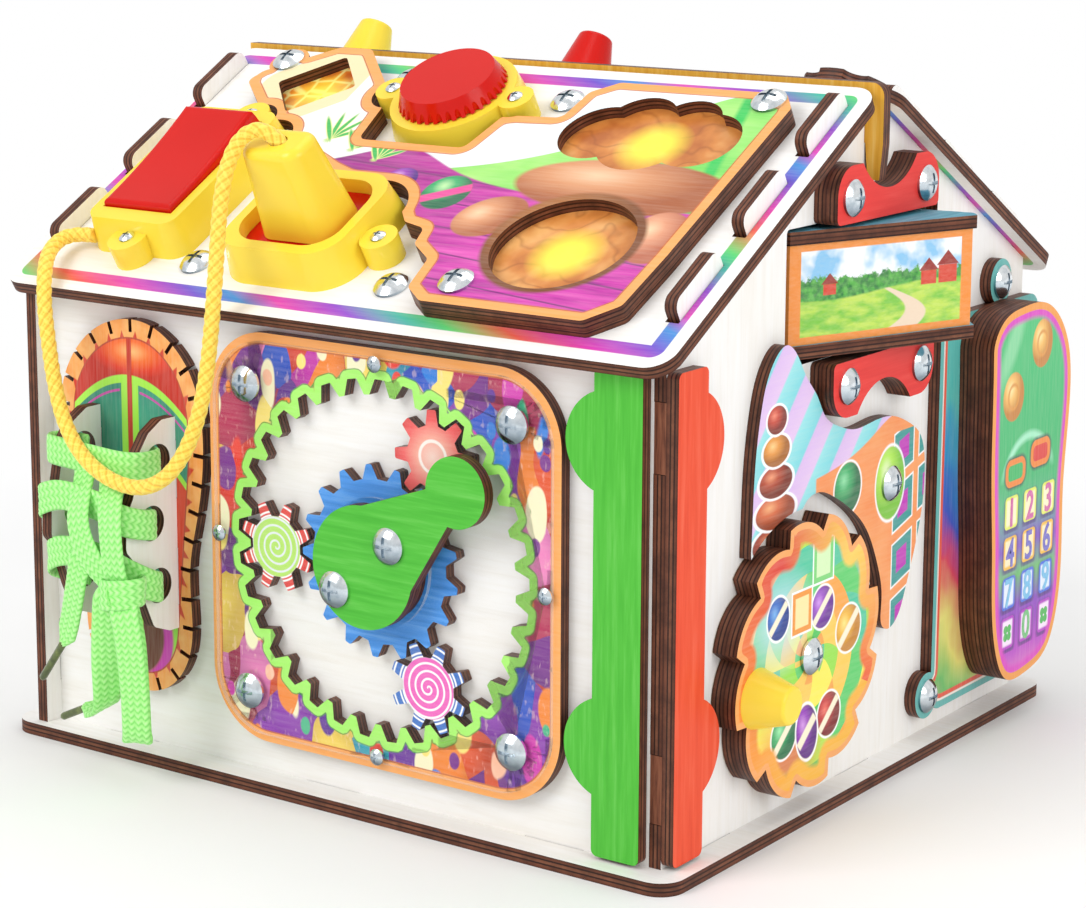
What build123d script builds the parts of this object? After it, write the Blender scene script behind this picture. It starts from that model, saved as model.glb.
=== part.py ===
from build123d import *
import os
from math import asin, cos, degrees, pi, radians, sin, sqrt, tan

# Frame: +X runs right along the front wall, the front wall faces -Y, the right gable faces +X.
# The origin is the middle of the base's underside. Lengths are millimetres.

# Sheet stock and fits shared by every flat piece
PLY = 4
CLEAR_SHEET = 1.5
SLOT_GAP = 0.2
FACE_GAP = 0.1
RUNNING_GAP = 0.3
PIVOT_GAP = 0.1
CUT_OVERRUN = 1

# Fasteners: domed truss heads with a cross recess, and flanged nuts behind the sheets
DOME_RADIUS = 5.5
DOME_RIM = 0.8
DOME_HEIGHT = 2.8
DOME_SHANK_RADIUS = 2
SMALL_RADIUS = 2.5
SMALL_RIM = 0.4
SMALL_HEIGHT = 1.3
SMALL_SHANK_RADIUS = 1.2
SMALL_REACH = 4
RECESS_WIDTH_SHARE = 0.2
RECESS_LENGTH_SHARE = 1.1
RECESS_DEPTH_SHARE = 0.45
NUT_RADIUS = 4
NUT_THICK = 1.6
HOLE_GAP = 0.15

# Front face, from the left gable to the right one
SOLE_SIDE_MARGIN = 7.5
SOLE_WIDTH = 60
SOLE_PANEL_GAP = 3.25
PANEL_TRIM_GAP = 1.25
GREEN_TRIM_BULGE = 9.5
GREEN_TRIM_WIDTH = 16
TRIM_INSET = 1

# Gear train: the panel's inner teeth, the sun gear and three planets share one module
TOOTH_MODULE = 3.164
SUN_TEETH = 17
PLANET_TEETH = 8
PLANET_STEPS = (0, 16, 33)
FIRST_PLANET_ANGLE = 182
GEAR_HEIGHT = 78.3
GEAR_THICK = 3.8
SUN_TIP_SHARE = 0.7
SUN_ROOT_SHARE = 0.66
SUN_TIP_WIDTH_SHARE = 0.63
SUN_ROOT_WIDTH_SHARE = 1.77
PLANET_TIP_SHARE = 0.39
PLANET_ROOT_SHARE = 1.03
PLANET_TIP_WIDTH_SHARE = 0.98
PLANET_ROOT_WIDTH_SHARE = 1.42
RING_TIP_SHARE = 0.79
RING_ROOT_SHARE = 0.7
RING_GAP_TIP_WIDTH_SHARE = 2.34
RING_GAP_ROOT_WIDTH_SHARE = 1.1
TOOTH_ROUND_SHARE = 0.16
TIP_FIND_SHARE = 0.1
PANEL_SIDE_MARGIN = 10.8
PANEL_END_MARGIN = 9.05
PANEL_CORNER = 22
PANEL_SCREW_INSET = 15.8
SMALL_SCREW_INSET = 4.3
COVER_INSET = 2.5
COVER_HOLE_RADIUS = 19.5
CARRIER_RIM = 1.8
PLANET_PIN_RADIUS = 2.5
PLANET_PIN_RISE = 2.6

# Crank on the sun gear
SPACER_RADIUS = 17.5
CRANK_LOBE_RADIUS = 18.5
CRANK_NECK_HALF_WIDTH = 6.3
CRANK_NECK_REACH = 35
CRANK_BULB_REACH = 43.5
CRANK_BULB_RADIUS = 10.5
CRANK_ANGLE = 38.5
CRANK_SCREW_REACH = 12.9
AXLE_RADIUS = 4
AXLE_FLANGE_RADIUS = 8
AXLE_FLANGE_THICK = 2

# Right gable: the window's centre line is the house's middle plane
WHEEL_OFFSET = 42
WHEEL_TIP_RADIUS = 42
WHEEL_TRIM_GAP = 0.5
RED_TRIM_BULGE = 8.5
RED_TRIM_WIDTH = 15

# House
HOUSE_LENGTH_CLEAR = SOLE_SIDE_MARGIN + SOLE_WIDTH + SOLE_PANEL_GAP + PANEL_TRIM_GAP
RING_TEETH = SUN_TEETH + 2 * PLANET_TEETH
RING_PITCH_RADIUS = TOOTH_MODULE * RING_TEETH / 2
RING_TIP_RADIUS = RING_PITCH_RADIUS - TOOTH_MODULE * RING_TIP_SHARE
RING_ROOT_RADIUS = RING_PITCH_RADIUS + TOOTH_MODULE * RING_ROOT_SHARE
PANEL_WIDTH = 2 * (RING_ROOT_RADIUS + PANEL_SIDE_MARGIN)
PANEL_HEIGHT = 2 * (RING_ROOT_RADIUS + PANEL_END_MARGIN)
TRIM_REACH = GREEN_TRIM_BULGE + GREEN_TRIM_WIDTH + TRIM_INSET
HOUSE_LENGTH = HOUSE_LENGTH_CLEAR + PANEL_WIDTH + TRIM_REACH + 2 * PLY
HALF_DEPTH = WHEEL_OFFSET + WHEEL_TIP_RADIUS + WHEEL_TRIM_GAP + RED_TRIM_BULGE + RED_TRIM_WIDTH
BASE_SIDE = 9
BASE_END = 10
BASE_CORNER = 8
LEFT_LIP = 6.5
EAVE_HEIGHT = 148.5
EAVE_OVERHANG = 11.5
ROOF_OVERHANG = 6.5
ROOF_PITCH = 30
ROOF_CORNER = 8
RIDGE_GAP = 0.5
RIDGE_RISE = 1.5
RIDGE_DEPTH = 18
RIDGE_CORNER = 4
TONGUE_WIDTH = 6
TONGUE_TIP_WIDTH = 4
TONGUE_GAP = 0.3
TONGUE_TIP_HEIGHT = 187.5
FOOT_TAB_LENGTH = 20
FOOT_TAB_SPREAD = 82
END_TAB_LENGTH = 20
END_TAB_SPREAD = 50
END_TAB_HEIGHT = 77
ROOF_TAB_LENGTH = 25
ROOF_TAB_FIRST = 33
ROOF_TAB_PITCH = 39
ROOF_TAB_RISE = 6
ROOF_TAB_CORNER = 3.5
ROOF_SLOT_SLACK = 1

# Corner trims: strips with two round bulges
TRIM_BULGE_RADIUS = 15
TRIM_FOOT_GAP = 1
TRIM_TOP_GAP = 5
TRIM_CORNER = 2
TRIM_UPPER_BULGE_DROP = 21
TRIM_LOWER_BULGE_HEIGHT = 37

# Battery hatch in the back wall
HATCH_WIDTH = 90
HATCH_HEIGHT = 60
HATCH_LIP = 8
HATCH_CENTRE_HEIGHT = 45
HATCH_CORNER = 5
BATTERY_LENGTH = 62
BATTERY_WIDTH = 32
BATTERY_HEIGHT = 18

# Shoe
SOLE_LENGTH = 118
SOLE_HEIGHT = 81
SOLE_NOTCHES = 32
NOTCH_WIDTH = 1.3
NOTCH_DEPTH = 4
SOLE_OUTLINE_SHARES = [
    (-0.50, 0.25), (-0.41, 0.38), (-0.25, 0.46), (-0.02, 0.50), (0.16, 0.49),
    (0.30, 0.45), (0.42, 0.38), (0.48, 0.30), (0.50, 0.16), (0.45, -0.01),
    (0.40, -0.13), (0.40, -0.23), (0.40, -0.34), (0.33, -0.43), (0.18, -0.49),
    (0.00, -0.50), (-0.20, -0.47), (-0.32, -0.40), (-0.35, -0.28), (-0.39, -0.12),
    (-0.47, 0.06),
]
LACING_SPACING = 31.5
LACING_SHIFT = 1
LACING_DEPTH = 22.5
LACING_HEIGHT = 67
LACING_FOOT = 44.8
LACING_TAB_LENGTH = 18
LACING_TAB_SPREAD = 17
LACING_HOLE_RADIUS = 5.5
LACING_CORNER = 3
LACING_OUTLINE_SHARES = [
    (0.0, 1.0), (0.27, 1.0), (0.53, 0.95), (0.71, 0.87), (0.84, 0.67), (0.98, 0.59),
    (1.0, 0.43), (0.87, 0.38), (0.67, 0.18), (0.49, 0.04), (0.18, 0.0), (0.0, 0.0),
]
LACING_HOLE_SHARES = [(0.36, 0.81), (0.50, 0.53), (0.38, 0.23)]

# Lace and its tips
LACE_RADIUS = 2.4
LACE_REST_GAP = 0.1
LACE_OVERLAP = 5
LACE_RUN_SHARE = 0.45
KNOT_WIDTH = 17
KNOT_DEPTH = 8
KNOT_HEIGHT = 13
KNOT_ROUND = 2.6
KNOT_SHIFT = 3
KNOT_SEAT = 1
TIP_RADIUS = 1.5
TIP_LENGTH = 14
SHORT_LACE_END = [
    (-77.3, -127.3, 52.0), (-79.5, -128.8, 44.0), (-84.5, -129.8, 37.0), (-91.5, -130.0, 32.5),
]
LONG_LACE_END = [
    (-70.6, -127.3, 52.0), (-68.8, -128.8, 42.0), (-69.2, -129.8, 32.4), (-73.8, -130.0, 24.6),
    (-81.6, -130.0, 19.8),
]

# Roof fittings; along is measured from the house's middle, up from the eave, both on the roof
HOUSING_ALONG = -82
HOUSING_UP = 52
HOUSING_WIDTH = 40
HOUSING_LENGTH = 65
HOUSING_HEIGHT = 12
HOUSING_DRAFT = 2.2
HOUSING_CORNER = 7
HOUSING_EAR_RADIUS = 6.5
HOUSING_EAR_HEIGHT = 8
HOUSING_EAR_OFFSET = 1
ROCKER_WIDTH = 28
ROCKER_RADIUS = 24.5
ROCKER_PIVOT_HEIGHT = 8
ROCKER_LOW_TOP = 14
ROCKER_HIGH_TOP = 18.5
ROCKER_HOLLOW = 1.2
ROCKER_LOW_BOTTOM = 1.2
ROCKER_MIDDLE_BOTTOM = 4
ROCKER_HIGH_BOTTOM = 6.5
ROCKER_PIN_RADIUS = 1.5
ROCKER_PIN_REACH = 2
ROCKER_ROUND = 1.5
SOCKET_ALONG = -20
SOCKET_UP = 36
SOCKET_WIDTH = 50
SOCKET_LENGTH = 46
SOCKET_HEIGHT = 12
SOCKET_DRAFT = 2.6
SOCKET_CORNER = 13
SOCKET_EAR_RADIUS = 6
SOCKET_EAR_SHIFT = 4
SOCKET_WELL_WIDTH = 38
SOCKET_WELL_LENGTH = 33
SOCKET_WELL_CORNER = 10
INSERT_THICK = 7
PRONG_SPACING = 14
PRONG_RADIUS = 2
PRONG_TIP_GAP = 1
PLUG_BASE_WIDTH = 28
PLUG_BASE_LENGTH = 20
PLUG_TOP_WIDTH = 22
PLUG_TOP_LENGTH = 14
PLUG_CORNER = 6
PLUG_TOP_CORNER = 5
PLUG_HEIGHT = 30
PLUG_ROUND = 3
KNOB_ALONG = -11.5
KNOB_UP = 105
KNOB_RING_RADIUS = 22.5
KNOB_RING_TOP_RADIUS = 21
KNOB_RING_HEIGHT = 8
KNOB_EAR_RADIUS = 6
KNOB_EAR_REACH = 24
KNOB_RADIUS = 18
KNOB_TOP_RADIUS = 15.5
KNOB_HEIGHT = 6
KNOB_RIBS = 36
KNOB_RIB_RADIUS = 0.9
KNOB_STEM_RADIUS = 5
KNOB_FLANGE_RADIUS = 8
KNOB_FLANGE_THICK = 2

# Picture overlay on the roof: a printed board over a thin backing, with three light windows
OVERLAY_SPAN = 100
BACKING_THICK = 2
OVERLAY_CORNER = 3
FITTING_GAP = 2
OVERLAY_OUTLINE_SHARES = [
    (-0.985, 1.060), (-0.960, 1.120), (-0.740, 1.280), (-0.610, 1.280), (-0.430, 1.100),
    (-0.360, 1.010), (-0.330, 0.800), (0.080, 0.800), (0.120, 0.980), (0.330, 0.990),
    (0.350, 1.130), (0.430, 1.190), (1.020, 1.190), (1.070, 1.120), (1.050, 0.400),
    (1.035, 0.170), (0.950, 0.088), (0.390, 0.088), (0.315, 0.140), (0.300, 0.270),
    (0.210, 0.330), (0.195, 0.405), (0.110, 0.425), (0.060, 0.480), (0.000, 0.530),
    (-0.070, 0.548), (-0.330, 0.640), (-0.720, 0.825),
]
WING_WINDOW_ALONG = -69.5
WING_WINDOW_UP = 106.8
WING_WINDOW_LENGTH = 24
WING_WINDOW_WIDTH = 21.5
WING_WINDOW_ANGLE = 43
CLOUD_WINDOW_ALONG = 68
CLOUD_WINDOW_UP = 94
CLOUD_WINDOW_WIDTH = 58
CLOUD_WINDOW_LENGTH = 37
CLOUD_PUFFS_SHARES = [
    (0.0, -0.06, 0.42), (-0.30, -0.02, 0.36), (0.30, -0.02, 0.36), (-0.13, 0.18, 0.32),
    (0.15, 0.20, 0.30),
]
OVAL_WINDOW_ALONG = 69.3
OVAL_WINDOW_UP = 40.5
OVAL_WINDOW_LONG = 45
OVAL_WINDOW_SHORT = 42
WINDOW_CORNER = 1.5
WINDOW_LEDGE = 3
LED_RADIUS = 2.5
LED_BOARD_LENGTH = 24
LED_BOARD_WIDTH = 14
LED_BOARD_THICK = 1.6
LED_TIP_GAP = 0.5
ROOF_SCREW_PLACES = [(19, 20), (23.4, 115.1), (-56.5, 19.6), (-41.9, 120.8)]
OVERLAY_SCREW_PLACES = [(46, 18.5), (98.3, 114.4)]
WING_SCREW_PLACE = (-89.7, 118.4)
OVERLAY_EAR_RADIUS = 7
WIRE_RADIUS = 0.9
WIRE_BEND = 12
WIRE_SPACING = 15.5
WIRE_SIDE = 8

# Turning picture prism in the right gable
WINDOW_HALF_WIDTH = 46
WINDOW_FOOT = 136.6
WINDOW_HEAD = 177.2
PRISM_SIDE = 82
PRISM_CORNER_CUT = 6
PRISM_ANGLE = -21
PRISM_AXIS_DEPTH = 10.5
PRISM_FOOT_GAP = 1.7
PRISM_HEAD_GAP = 1.3
PRISM_PIN_RADIUS = 3
PRISM_BOSS_RADIUS = 6
PRISM_PANEL_INSET = 1
SHELF_RISE = 1.8
SHELF_DROP = 7.2
SHELF_WIDTH = 32
SHELF_DEPTH = 24
SHELF_TAB_WIDTH = 24
BRACKET_WIDTH = 62
BRACKET_HEIGHT = 17
BRACKET_CORNER = 9
BRACKET_FOOT_CORNER = 2
ARCH_RADIUS = 20
ARCH_DEPTH = 8.5
BRACKET_SCREW_SPREAD = 22.5
BRACKET_SCREW_RISE = 7.5

# Picture plate and toothed wheel beside it
PLATE_WIDTH = 104
PLATE_HEIGHT = 100
PLATE_SIDE = -17
PLATE_DROP = 41.6
PLATE_WHEEL_GAP = 1.4
PLATE_SCREW_SIDE = 12.5
PLATE_SCREW_DROP = 2.4
PLATE_OUTLINE_SHARES = [
    (-0.50, -0.07), (-0.49, 0.14), (-0.46, 0.33), (-0.40, 0.46), (-0.33, 0.50), (-0.27, 0.46),
    (-0.22, 0.39), (-0.155, 0.32), (-0.11, 0.255), (-0.03, 0.21), (0.06, 0.185), (0.18, 0.19),
    (0.29, 0.185), (0.385, 0.15), (0.47, 0.09), (0.50, -0.025), (0.47, -0.21), (0.395, -0.39),
    (0.35, -0.465), (0.29, -0.49), (0.255, -0.47), (0.25, -0.39), (0.22, -0.27), (0.145, -0.14),
    (0.045, -0.055), (-0.06, 0.005), (-0.13, 0.03), (-0.20, 0.02), (-0.27, -0.06), (-0.40, -0.15),
    (-0.47, -0.15),
]
WHEEL_HEIGHT = 51.5
WHEEL_TEETH = 12
WHEEL_TOOTH_DEPTH = 5
WHEEL_BACK_BULGE = 1.2
WHEEL_FIRST_ANGLE = 77
WHEEL_NOTCH_ANGLE = 3
WHEEL_KNOB_SIDE = -29.4
WHEEL_KNOB_DROP = 5.5
WHEEL_KNOB_FOOT_RADIUS = 9
WHEEL_KNOB_TOP_RADIUS = 5.5
WHEEL_KNOB_HEIGHT = 12
WHEEL_KNOB_ROUND = 1.2
WHEEL_KNOB_PIN_RADIUS = 2.5

# Toy phone on its frame
FRAME_SIDE = 43.5
FRAME_WIDTH = 69
FRAME_FOOT = 11
FRAME_HEIGHT = 128
FRAME_CORNER = 6
FRAME_EAR_RADIUS = 7.5
FRAME_EAR_SIDE = 2.8
FRAME_EAR_RISE = 6.4
FRAME_TOP_EAR_SHARE = 0.59
FRAME_TOP_EAR_RISE = 7
PHONE_WIDTH = 58
PHONE_HEIGHT = 124
PHONE_SIDE = 85
PHONE_LIFT = 2.8
PHONE_OUTLINE_SHARES = [
    (-0.49, 0.40), (-0.48, 0.25), (-0.47, 0.07), (-0.43, -0.14), (-0.35, -0.40), (-0.21, -0.49),
    (0.03, -0.50), (0.31, -0.46), (0.43, -0.36), (0.455, -0.02), (0.50, 0.20), (0.45, 0.37),
    (0.17, 0.49), (-0.15, 0.50), (-0.40, 0.47),
]
PEG_RADIUS = 3
PEG_REACH = 6
PEG_SPREAD = 66

# Back roof toys
SLIDER_LENGTH = 150
SLIDER_WIDTH = 46
SLIDER_ALONG = -38
SLIDER_UP = 98
SLIDER_CORNER = 10
SLOT_WIDTH = 8
SLOT_UP = 116
YELLOW_KNOB_ALONG = -91
RED_KNOB_ALONG = 1
SLIDER_STEM_RADIUS = 3
SLIDER_KNOB_FOOT_RADIUS = 9
SLIDER_KNOB_TOP_RADIUS = 5.5
SLIDER_KNOB_HEIGHT = 14
SLIDER_TRAVEL = 35
SPINNER_ALONG = 97
SPINNER_UP = 110
SPINNER_RADIUS = 15.5
SPINNER_LOBES = 6
SPINNER_DIP = 3
SPINNER_DIP_RADIUS = 5.2

# Rope from the rocker housing to the toy plug: points on its centre line
ROPE_RADIUS = 2.4
ROPE_BORE_GAP = 0.3
ROPE_BORE_DEPTH = 3
ROPE_ROUTE = [
    (-98.5, -103.4, 163.2), (-105.5, -103.4, 163.2), (-109.8, -107.3, 161.8),
    (-107.5, -115.0, 158.8), (-102.5, -122.0, 153.6), (-98.0, -126.8, 144.4),
    (-94.3, -129.0, 133.2), (-90.4, -131.0, 121.9), (-84.4, -133.5, 110.9),
    (-75.0, -136.0, 101.8), (-63.0, -137.2, 96.2), (-50.2, -137.2, 94.6),
    (-40.3, -136.0, 98.6), (-33.7, -133.5, 107.9), (-30.1, -131.0, 120.2),
    (-28.6, -129.0, 134.0), (-28.1, -127.3, 148.2), (-28.4, -125.2, 161.6),
    (-29.6, -122.5, 173.5), (-30.6, -119.6, 183.8), (-30.8, -116.6, 192.0),
    (-29.2, -113.6, 198.6), (-25.2, -111.0, 202.3), (-20.5, -108.6, 201.0),
    (-18.0, -105.9, 196.6),
]
ROPE_RUN_SHARE = 0.45

# Places and planes worked out from the sizes above
BASE_LENGTH = HOUSE_LENGTH + 2 * BASE_SIDE
BASE_DEPTH = 2 * HALF_DEPTH + 2 * BASE_END
GABLE_X = HOUSE_LENGTH / 2
WALL_HALF = GABLE_X - PLY
EAVE_Y = HALF_DEPTH + EAVE_OVERHANG
SLOPE_SIN = sin(radians(ROOF_PITCH))
SLOPE_COS = cos(radians(ROOF_PITCH))
SLOPE_TAN = tan(radians(ROOF_PITCH))
RIDGE_HALF = PLY / 2 + RIDGE_GAP + PLY * SLOPE_SIN
ROOF_SLOPE = (EAVE_Y - RIDGE_HALF) / SLOPE_COS
ROOF_LENGTH = HOUSE_LENGTH + 2 * ROOF_OVERHANG
RIDGE_TOP = EAVE_HEIGHT + (EAVE_Y - RIDGE_HALF) * SLOPE_TAN + RIDGE_RISE
UNDER_DROP = PLY / SLOPE_COS
FRONT = Plane(origin=(0, -HALF_DEPTH, 0), x_dir=(1, 0, 0), z_dir=(0, -1, 0))
BACK = Plane(origin=(0, HALF_DEPTH, 0), x_dir=(-1, 0, 0), z_dir=(0, 1, 0))
RIGHT = Plane(origin=(GABLE_X, 0, 0), x_dir=(0, 1, 0), z_dir=(1, 0, 0))
LEFT = Plane(origin=(PLY - GABLE_X, 0, 0), x_dir=(0, 1, 0), z_dir=(1, 0, 0))
ROOF_FRONT = Plane(origin=(0, -EAVE_Y, EAVE_HEIGHT), x_dir=(1, 0, 0), z_dir=(0, -SLOPE_SIN, SLOPE_COS))
ROOF_BACK = Plane(origin=(0, EAVE_Y, EAVE_HEIGHT), x_dir=(-1, 0, 0), z_dir=(0, SLOPE_SIN, SLOPE_COS))
TRIM_RIGHT = WALL_HALF - TRIM_INSET
GEAR_X = TRIM_RIGHT - GREEN_TRIM_WIDTH - GREEN_TRIM_BULGE - PANEL_TRIM_GAP - PANEL_WIDTH / 2
SOLE_X = GEAR_X - PANEL_WIDTH / 2 - SOLE_PANEL_GAP - SOLE_WIDTH / 2
SUN_PITCH_RADIUS = TOOTH_MODULE * SUN_TEETH / 2
PLANET_PITCH_RADIUS = TOOTH_MODULE * PLANET_TEETH / 2
PLANET_ORBIT = SUN_PITCH_RADIUS + PLANET_PITCH_RADIUS
CARRIER_WELL_RADIUS = RING_ROOT_RADIUS + CARRIER_RIM
CARRIER_RADIUS = CARRIER_WELL_RADIUS - RUNNING_GAP
GEAR_LIFT = (PLY - GEAR_THICK) / 2
SPACER_LIFT = GEAR_LIFT + GEAR_THICK
CRANK_LIFT = SPACER_LIFT + PLY
STEP_ANGLE = 360 / (SUN_TEETH + RING_TEETH)
WHEEL_Y = RED_TRIM_WIDTH + RED_TRIM_BULGE + WHEEL_TRIM_GAP + WHEEL_TIP_RADIUS - HALF_DEPTH
PRISM_X = GABLE_X - PRISM_AXIS_DEPTH
PRISM_FOOT = WINDOW_FOOT + PRISM_FOOT_GAP
PRISM_TOP = WINDOW_HEAD - PRISM_HEAD_GAP
PRISM_HEIGHT = PRISM_TOP - PRISM_FOOT
PLATE_CENTRE_HEIGHT = WINDOW_FOOT - PLATE_DROP
PLATE_SCREW_HEIGHT = PLATE_CENTRE_HEIGHT - PLATE_SCREW_DROP
UPPER_SHELF = WINDOW_HEAD + SHELF_RISE
LOWER_SHELF = WINDOW_FOOT - SHELF_DROP
PHONE_CENTRE_HEIGHT = FRAME_FOOT + FRAME_HEIGHT / 2 + PHONE_LIFT
OVERLAY_TOP = BACKING_THICK + PLY
SLOT_FIT_THICK = PLY + 2 * SLOT_GAP
SLOT_LENGTH = SLIDER_TRAVEL + SLOT_WIDTH + 2 * RUNNING_GAP
YELLOW_SLOT_ALONG = YELLOW_KNOB_ALONG + SLIDER_TRAVEL / 2
RED_SLOT_ALONG = RED_KNOB_ALONG - SLIDER_TRAVEL / 2


def polar(radius, angle):
    """A point at a radius and an angle in degrees."""
    return (radius * cos(radians(angle)), radius * sin(radians(angle)))


def board(plane, sketch, lift=0, thick=PLY):
    """A flat piece: a sketch raised off a plane."""
    return extrude(plane * Pos(0, 0, lift) * sketch, amount=thick)


def disc(x, y, radius):
    return Pos(x, y) * Circle(radius)


def shaped(shares, x, y, width, height):
    """Points of an outline given as shares of its width and height about its centre."""
    return [(x + a * width, y + b * height) for a, b in shares]


def smooth_face(points):
    """A face inside one closed smooth curve."""
    return make_face(Spline(*points, periodic=True))


def cornered_face(points, radius):
    """A face inside straight edges with every corner rounded alike."""
    face = make_face(Polyline(*points, close=True))
    return fillet(face.vertices(), radius)


def roof_under(y):
    """Height of the roof's underside at a distance from the house's middle plane."""
    return EAVE_HEIGHT + (EAVE_Y - abs(y)) * SLOPE_TAN - UNDER_DROP


def screw(radius, rim, height, shank_radius, reach):
    """A domed screw: its head sits on Z zero and its shank reaches down."""
    profile = make_face(
        [
            Line((0, 0), (radius, 0)),
            Line((radius, 0), (radius, rim)),
            ThreePointArc((radius, rim), (radius * sin(pi / 5), rim + (height - rim) * cos(pi / 5)), (0, height)),
            Line((0, height), (0, 0)),
        ]
    )
    head = revolve(Plane.XZ * profile, Axis.Z)
    depth = height * RECESS_DEPTH_SHARE
    arm = Box(radius * RECESS_LENGTH_SHARE, radius * RECESS_WIDTH_SHARE, 2 * depth)
    cross = Pos(0, 0, height) * (arm + Rot(0, 0, 90) * arm)
    shank = Pos(0, 0, -reach / 2) * Cylinder(shank_radius, reach)
    return head - cross + shank


def dome_screw(reach):
    return screw(DOME_RADIUS, DOME_RIM, DOME_HEIGHT, DOME_SHANK_RADIUS, reach)


def small_screw():
    return screw(SMALL_RADIUS, SMALL_RIM, SMALL_HEIGHT, SMALL_SHANK_RADIUS, SMALL_REACH)


def nut():
    """A flanged nut that hangs below Z zero."""
    ring = Cylinder(NUT_RADIUS, NUT_THICK) - Cylinder(DOME_SHANK_RADIUS, NUT_THICK)
    return Pos(0, 0, -NUT_THICK / 2) * ring


def bolted(plane, places, lift, stack):
    """Domed screws through a stack of sheets, each with its nut behind."""
    pieces = []
    for x, y in places:
        pieces.append(plane * Pos(x, y, lift) * dome_screw(stack + NUT_THICK))
        pieces.append(plane * Pos(x, y, lift - stack) * nut())
    return pieces


def drill(sketch, places, radius=DOME_SHANK_RADIUS):
    """Clearance holes for screws."""
    for x, y in places:
        sketch -= disc(x, y, radius + HOLE_GAP)
    return sketch


def gear_face(teeth, root, tip, root_width, tip_width, phase):
    """An outer gear outline with straight flanks, first tooth at the phase angle."""
    points = []
    for tooth in range(teeth):
        angle = phase + 360 * tooth / teeth
        for radius, width in ((root, -root_width), (tip, -tip_width), (tip, tip_width), (root, root_width)):
            points.append(polar(radius, angle + degrees(asin(width / 2 / radius))))
    return make_face(Polyline(*points, close=True))


def rounded_tips(face, radius, amount):
    """Round the tooth tips, the vertices that lie at the tip radius."""
    tips = [v for v in face.vertices() if abs(sqrt(v.X ** 2 + v.Y ** 2) - radius) < amount * TIP_FIND_SHARE]
    return fillet(tips, amount)


def panel_screws():
    """The gear panel's four corner screws."""
    half_x = PANEL_WIDTH / 2 - PANEL_SCREW_INSET
    half_z = PANEL_HEIGHT / 2 - PANEL_SCREW_INSET
    return [(GEAR_X + i * half_x, GEAR_HEIGHT + j * half_z) for i in (-1, 1) for j in (-1, 1)]


def cover_screws():
    """Small screws at the middle of each side of the gear panel."""
    x = PANEL_WIDTH / 2 - SMALL_SCREW_INSET
    z = PANEL_HEIGHT / 2 - SMALL_SCREW_INSET
    return [(GEAR_X + i, GEAR_HEIGHT + j) for i, j in ((x, 0), (-x, 0), (0, z), (0, -z))]


def bracket_screws():
    """Two screws in each picture bracket, as (y, z) places."""
    upper = WINDOW_HEAD + BRACKET_SCREW_RISE
    lower = WINDOW_FOOT - FACE_GAP - BRACKET_SCREW_RISE
    return [(side * BRACKET_SCREW_SPREAD, z) for z in (upper, lower) for side in (-1, 1)]


def frame_ears():
    """Centres of the phone frame's two screw ears."""
    lower = (FRAME_SIDE - FRAME_EAR_SIDE, FRAME_FOOT + FRAME_EAR_RISE)
    upper = (FRAME_SIDE + FRAME_TOP_EAR_SHARE * FRAME_WIDTH, FRAME_FOOT + FRAME_HEIGHT + FRAME_TOP_EAR_RISE)
    return [lower, upper]


def slot_row(sketch, places, length, width):
    """Cut slots for tabs, each a little larger than its tab."""
    for x, y in places:
        sketch -= Pos(x, y) * Rectangle(length + 2 * SLOT_GAP, width + 2 * SLOT_GAP)
    return sketch


def foot_places(offset):
    return [(i * FOOT_TAB_SPREAD, offset) for i in (-1, 0, 1)]


def end_tab_heights():
    return [END_TAB_HEIGHT - END_TAB_SPREAD, END_TAB_HEIGHT + END_TAB_SPREAD]


def base_plate():
    """Floor with slots for the walls' foot tabs."""
    sketch = RectangleRounded(BASE_LENGTH, BASE_DEPTH, BASE_CORNER)
    middle = HALF_DEPTH - PLY / 2
    for side in (-1, 1):
        sketch = slot_row(sketch, foot_places(side * middle), FOOT_TAB_LENGTH, PLY)
        for i in (-1, 0, 1):
            x = side * (GABLE_X - PLY / 2)
            sketch = slot_row(sketch, [(x, i * FOOT_TAB_SPREAD)], PLY, FOOT_TAB_LENGTH)
    return extrude(sketch, amount=PLY)


def wall_sketch():
    """A long wall between the gables with foot tabs and end tabs."""
    top = roof_under(HALF_DEPTH)
    sketch = Pos(0, (PLY + top) / 2) * Rectangle(2 * WALL_HALF, top - PLY)
    for x, y in foot_places(PLY / 2):
        sketch += Pos(x, y) * Rectangle(FOOT_TAB_LENGTH, PLY)
    for z in end_tab_heights():
        sketch += Pos(0, z) * Rectangle(HOUSE_LENGTH, END_TAB_LENGTH)
    return sketch


def front_wall():
    """Front wall with the carrier's round well and the fixing holes."""
    sketch = wall_sketch() - disc(GEAR_X, GEAR_HEIGHT, CARRIER_WELL_RADIUS)
    sketch = drill(sketch, panel_screws())
    sketch = drill(sketch, cover_screws(), SMALL_SHANK_RADIUS)
    return board(FRONT, sketch, -PLY)


def back_wall():
    """Back wall with the battery opening."""
    opening = RectangleRounded(HATCH_WIDTH - 2 * HATCH_LIP, HATCH_HEIGHT - 2 * HATCH_LIP, HATCH_CORNER)
    sketch = wall_sketch() - Pos(0, HATCH_CENTRE_HEIGHT) * opening
    sketch = drill(sketch, hatch_screws())
    return board(BACK, sketch, -PLY)


def hatch_screws():
    return [(side * (HATCH_WIDTH / 2 - HATCH_LIP / 2), HATCH_CENTRE_HEIGHT) for side in (-1, 1)]


def battery_hatch():
    """Hatch over the battery opening."""
    sketch = Pos(0, HATCH_CENTRE_HEIGHT) * RectangleRounded(HATCH_WIDTH, HATCH_HEIGHT, HATCH_CORNER)
    return board(BACK, drill(sketch, hatch_screws()), 0)


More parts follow.
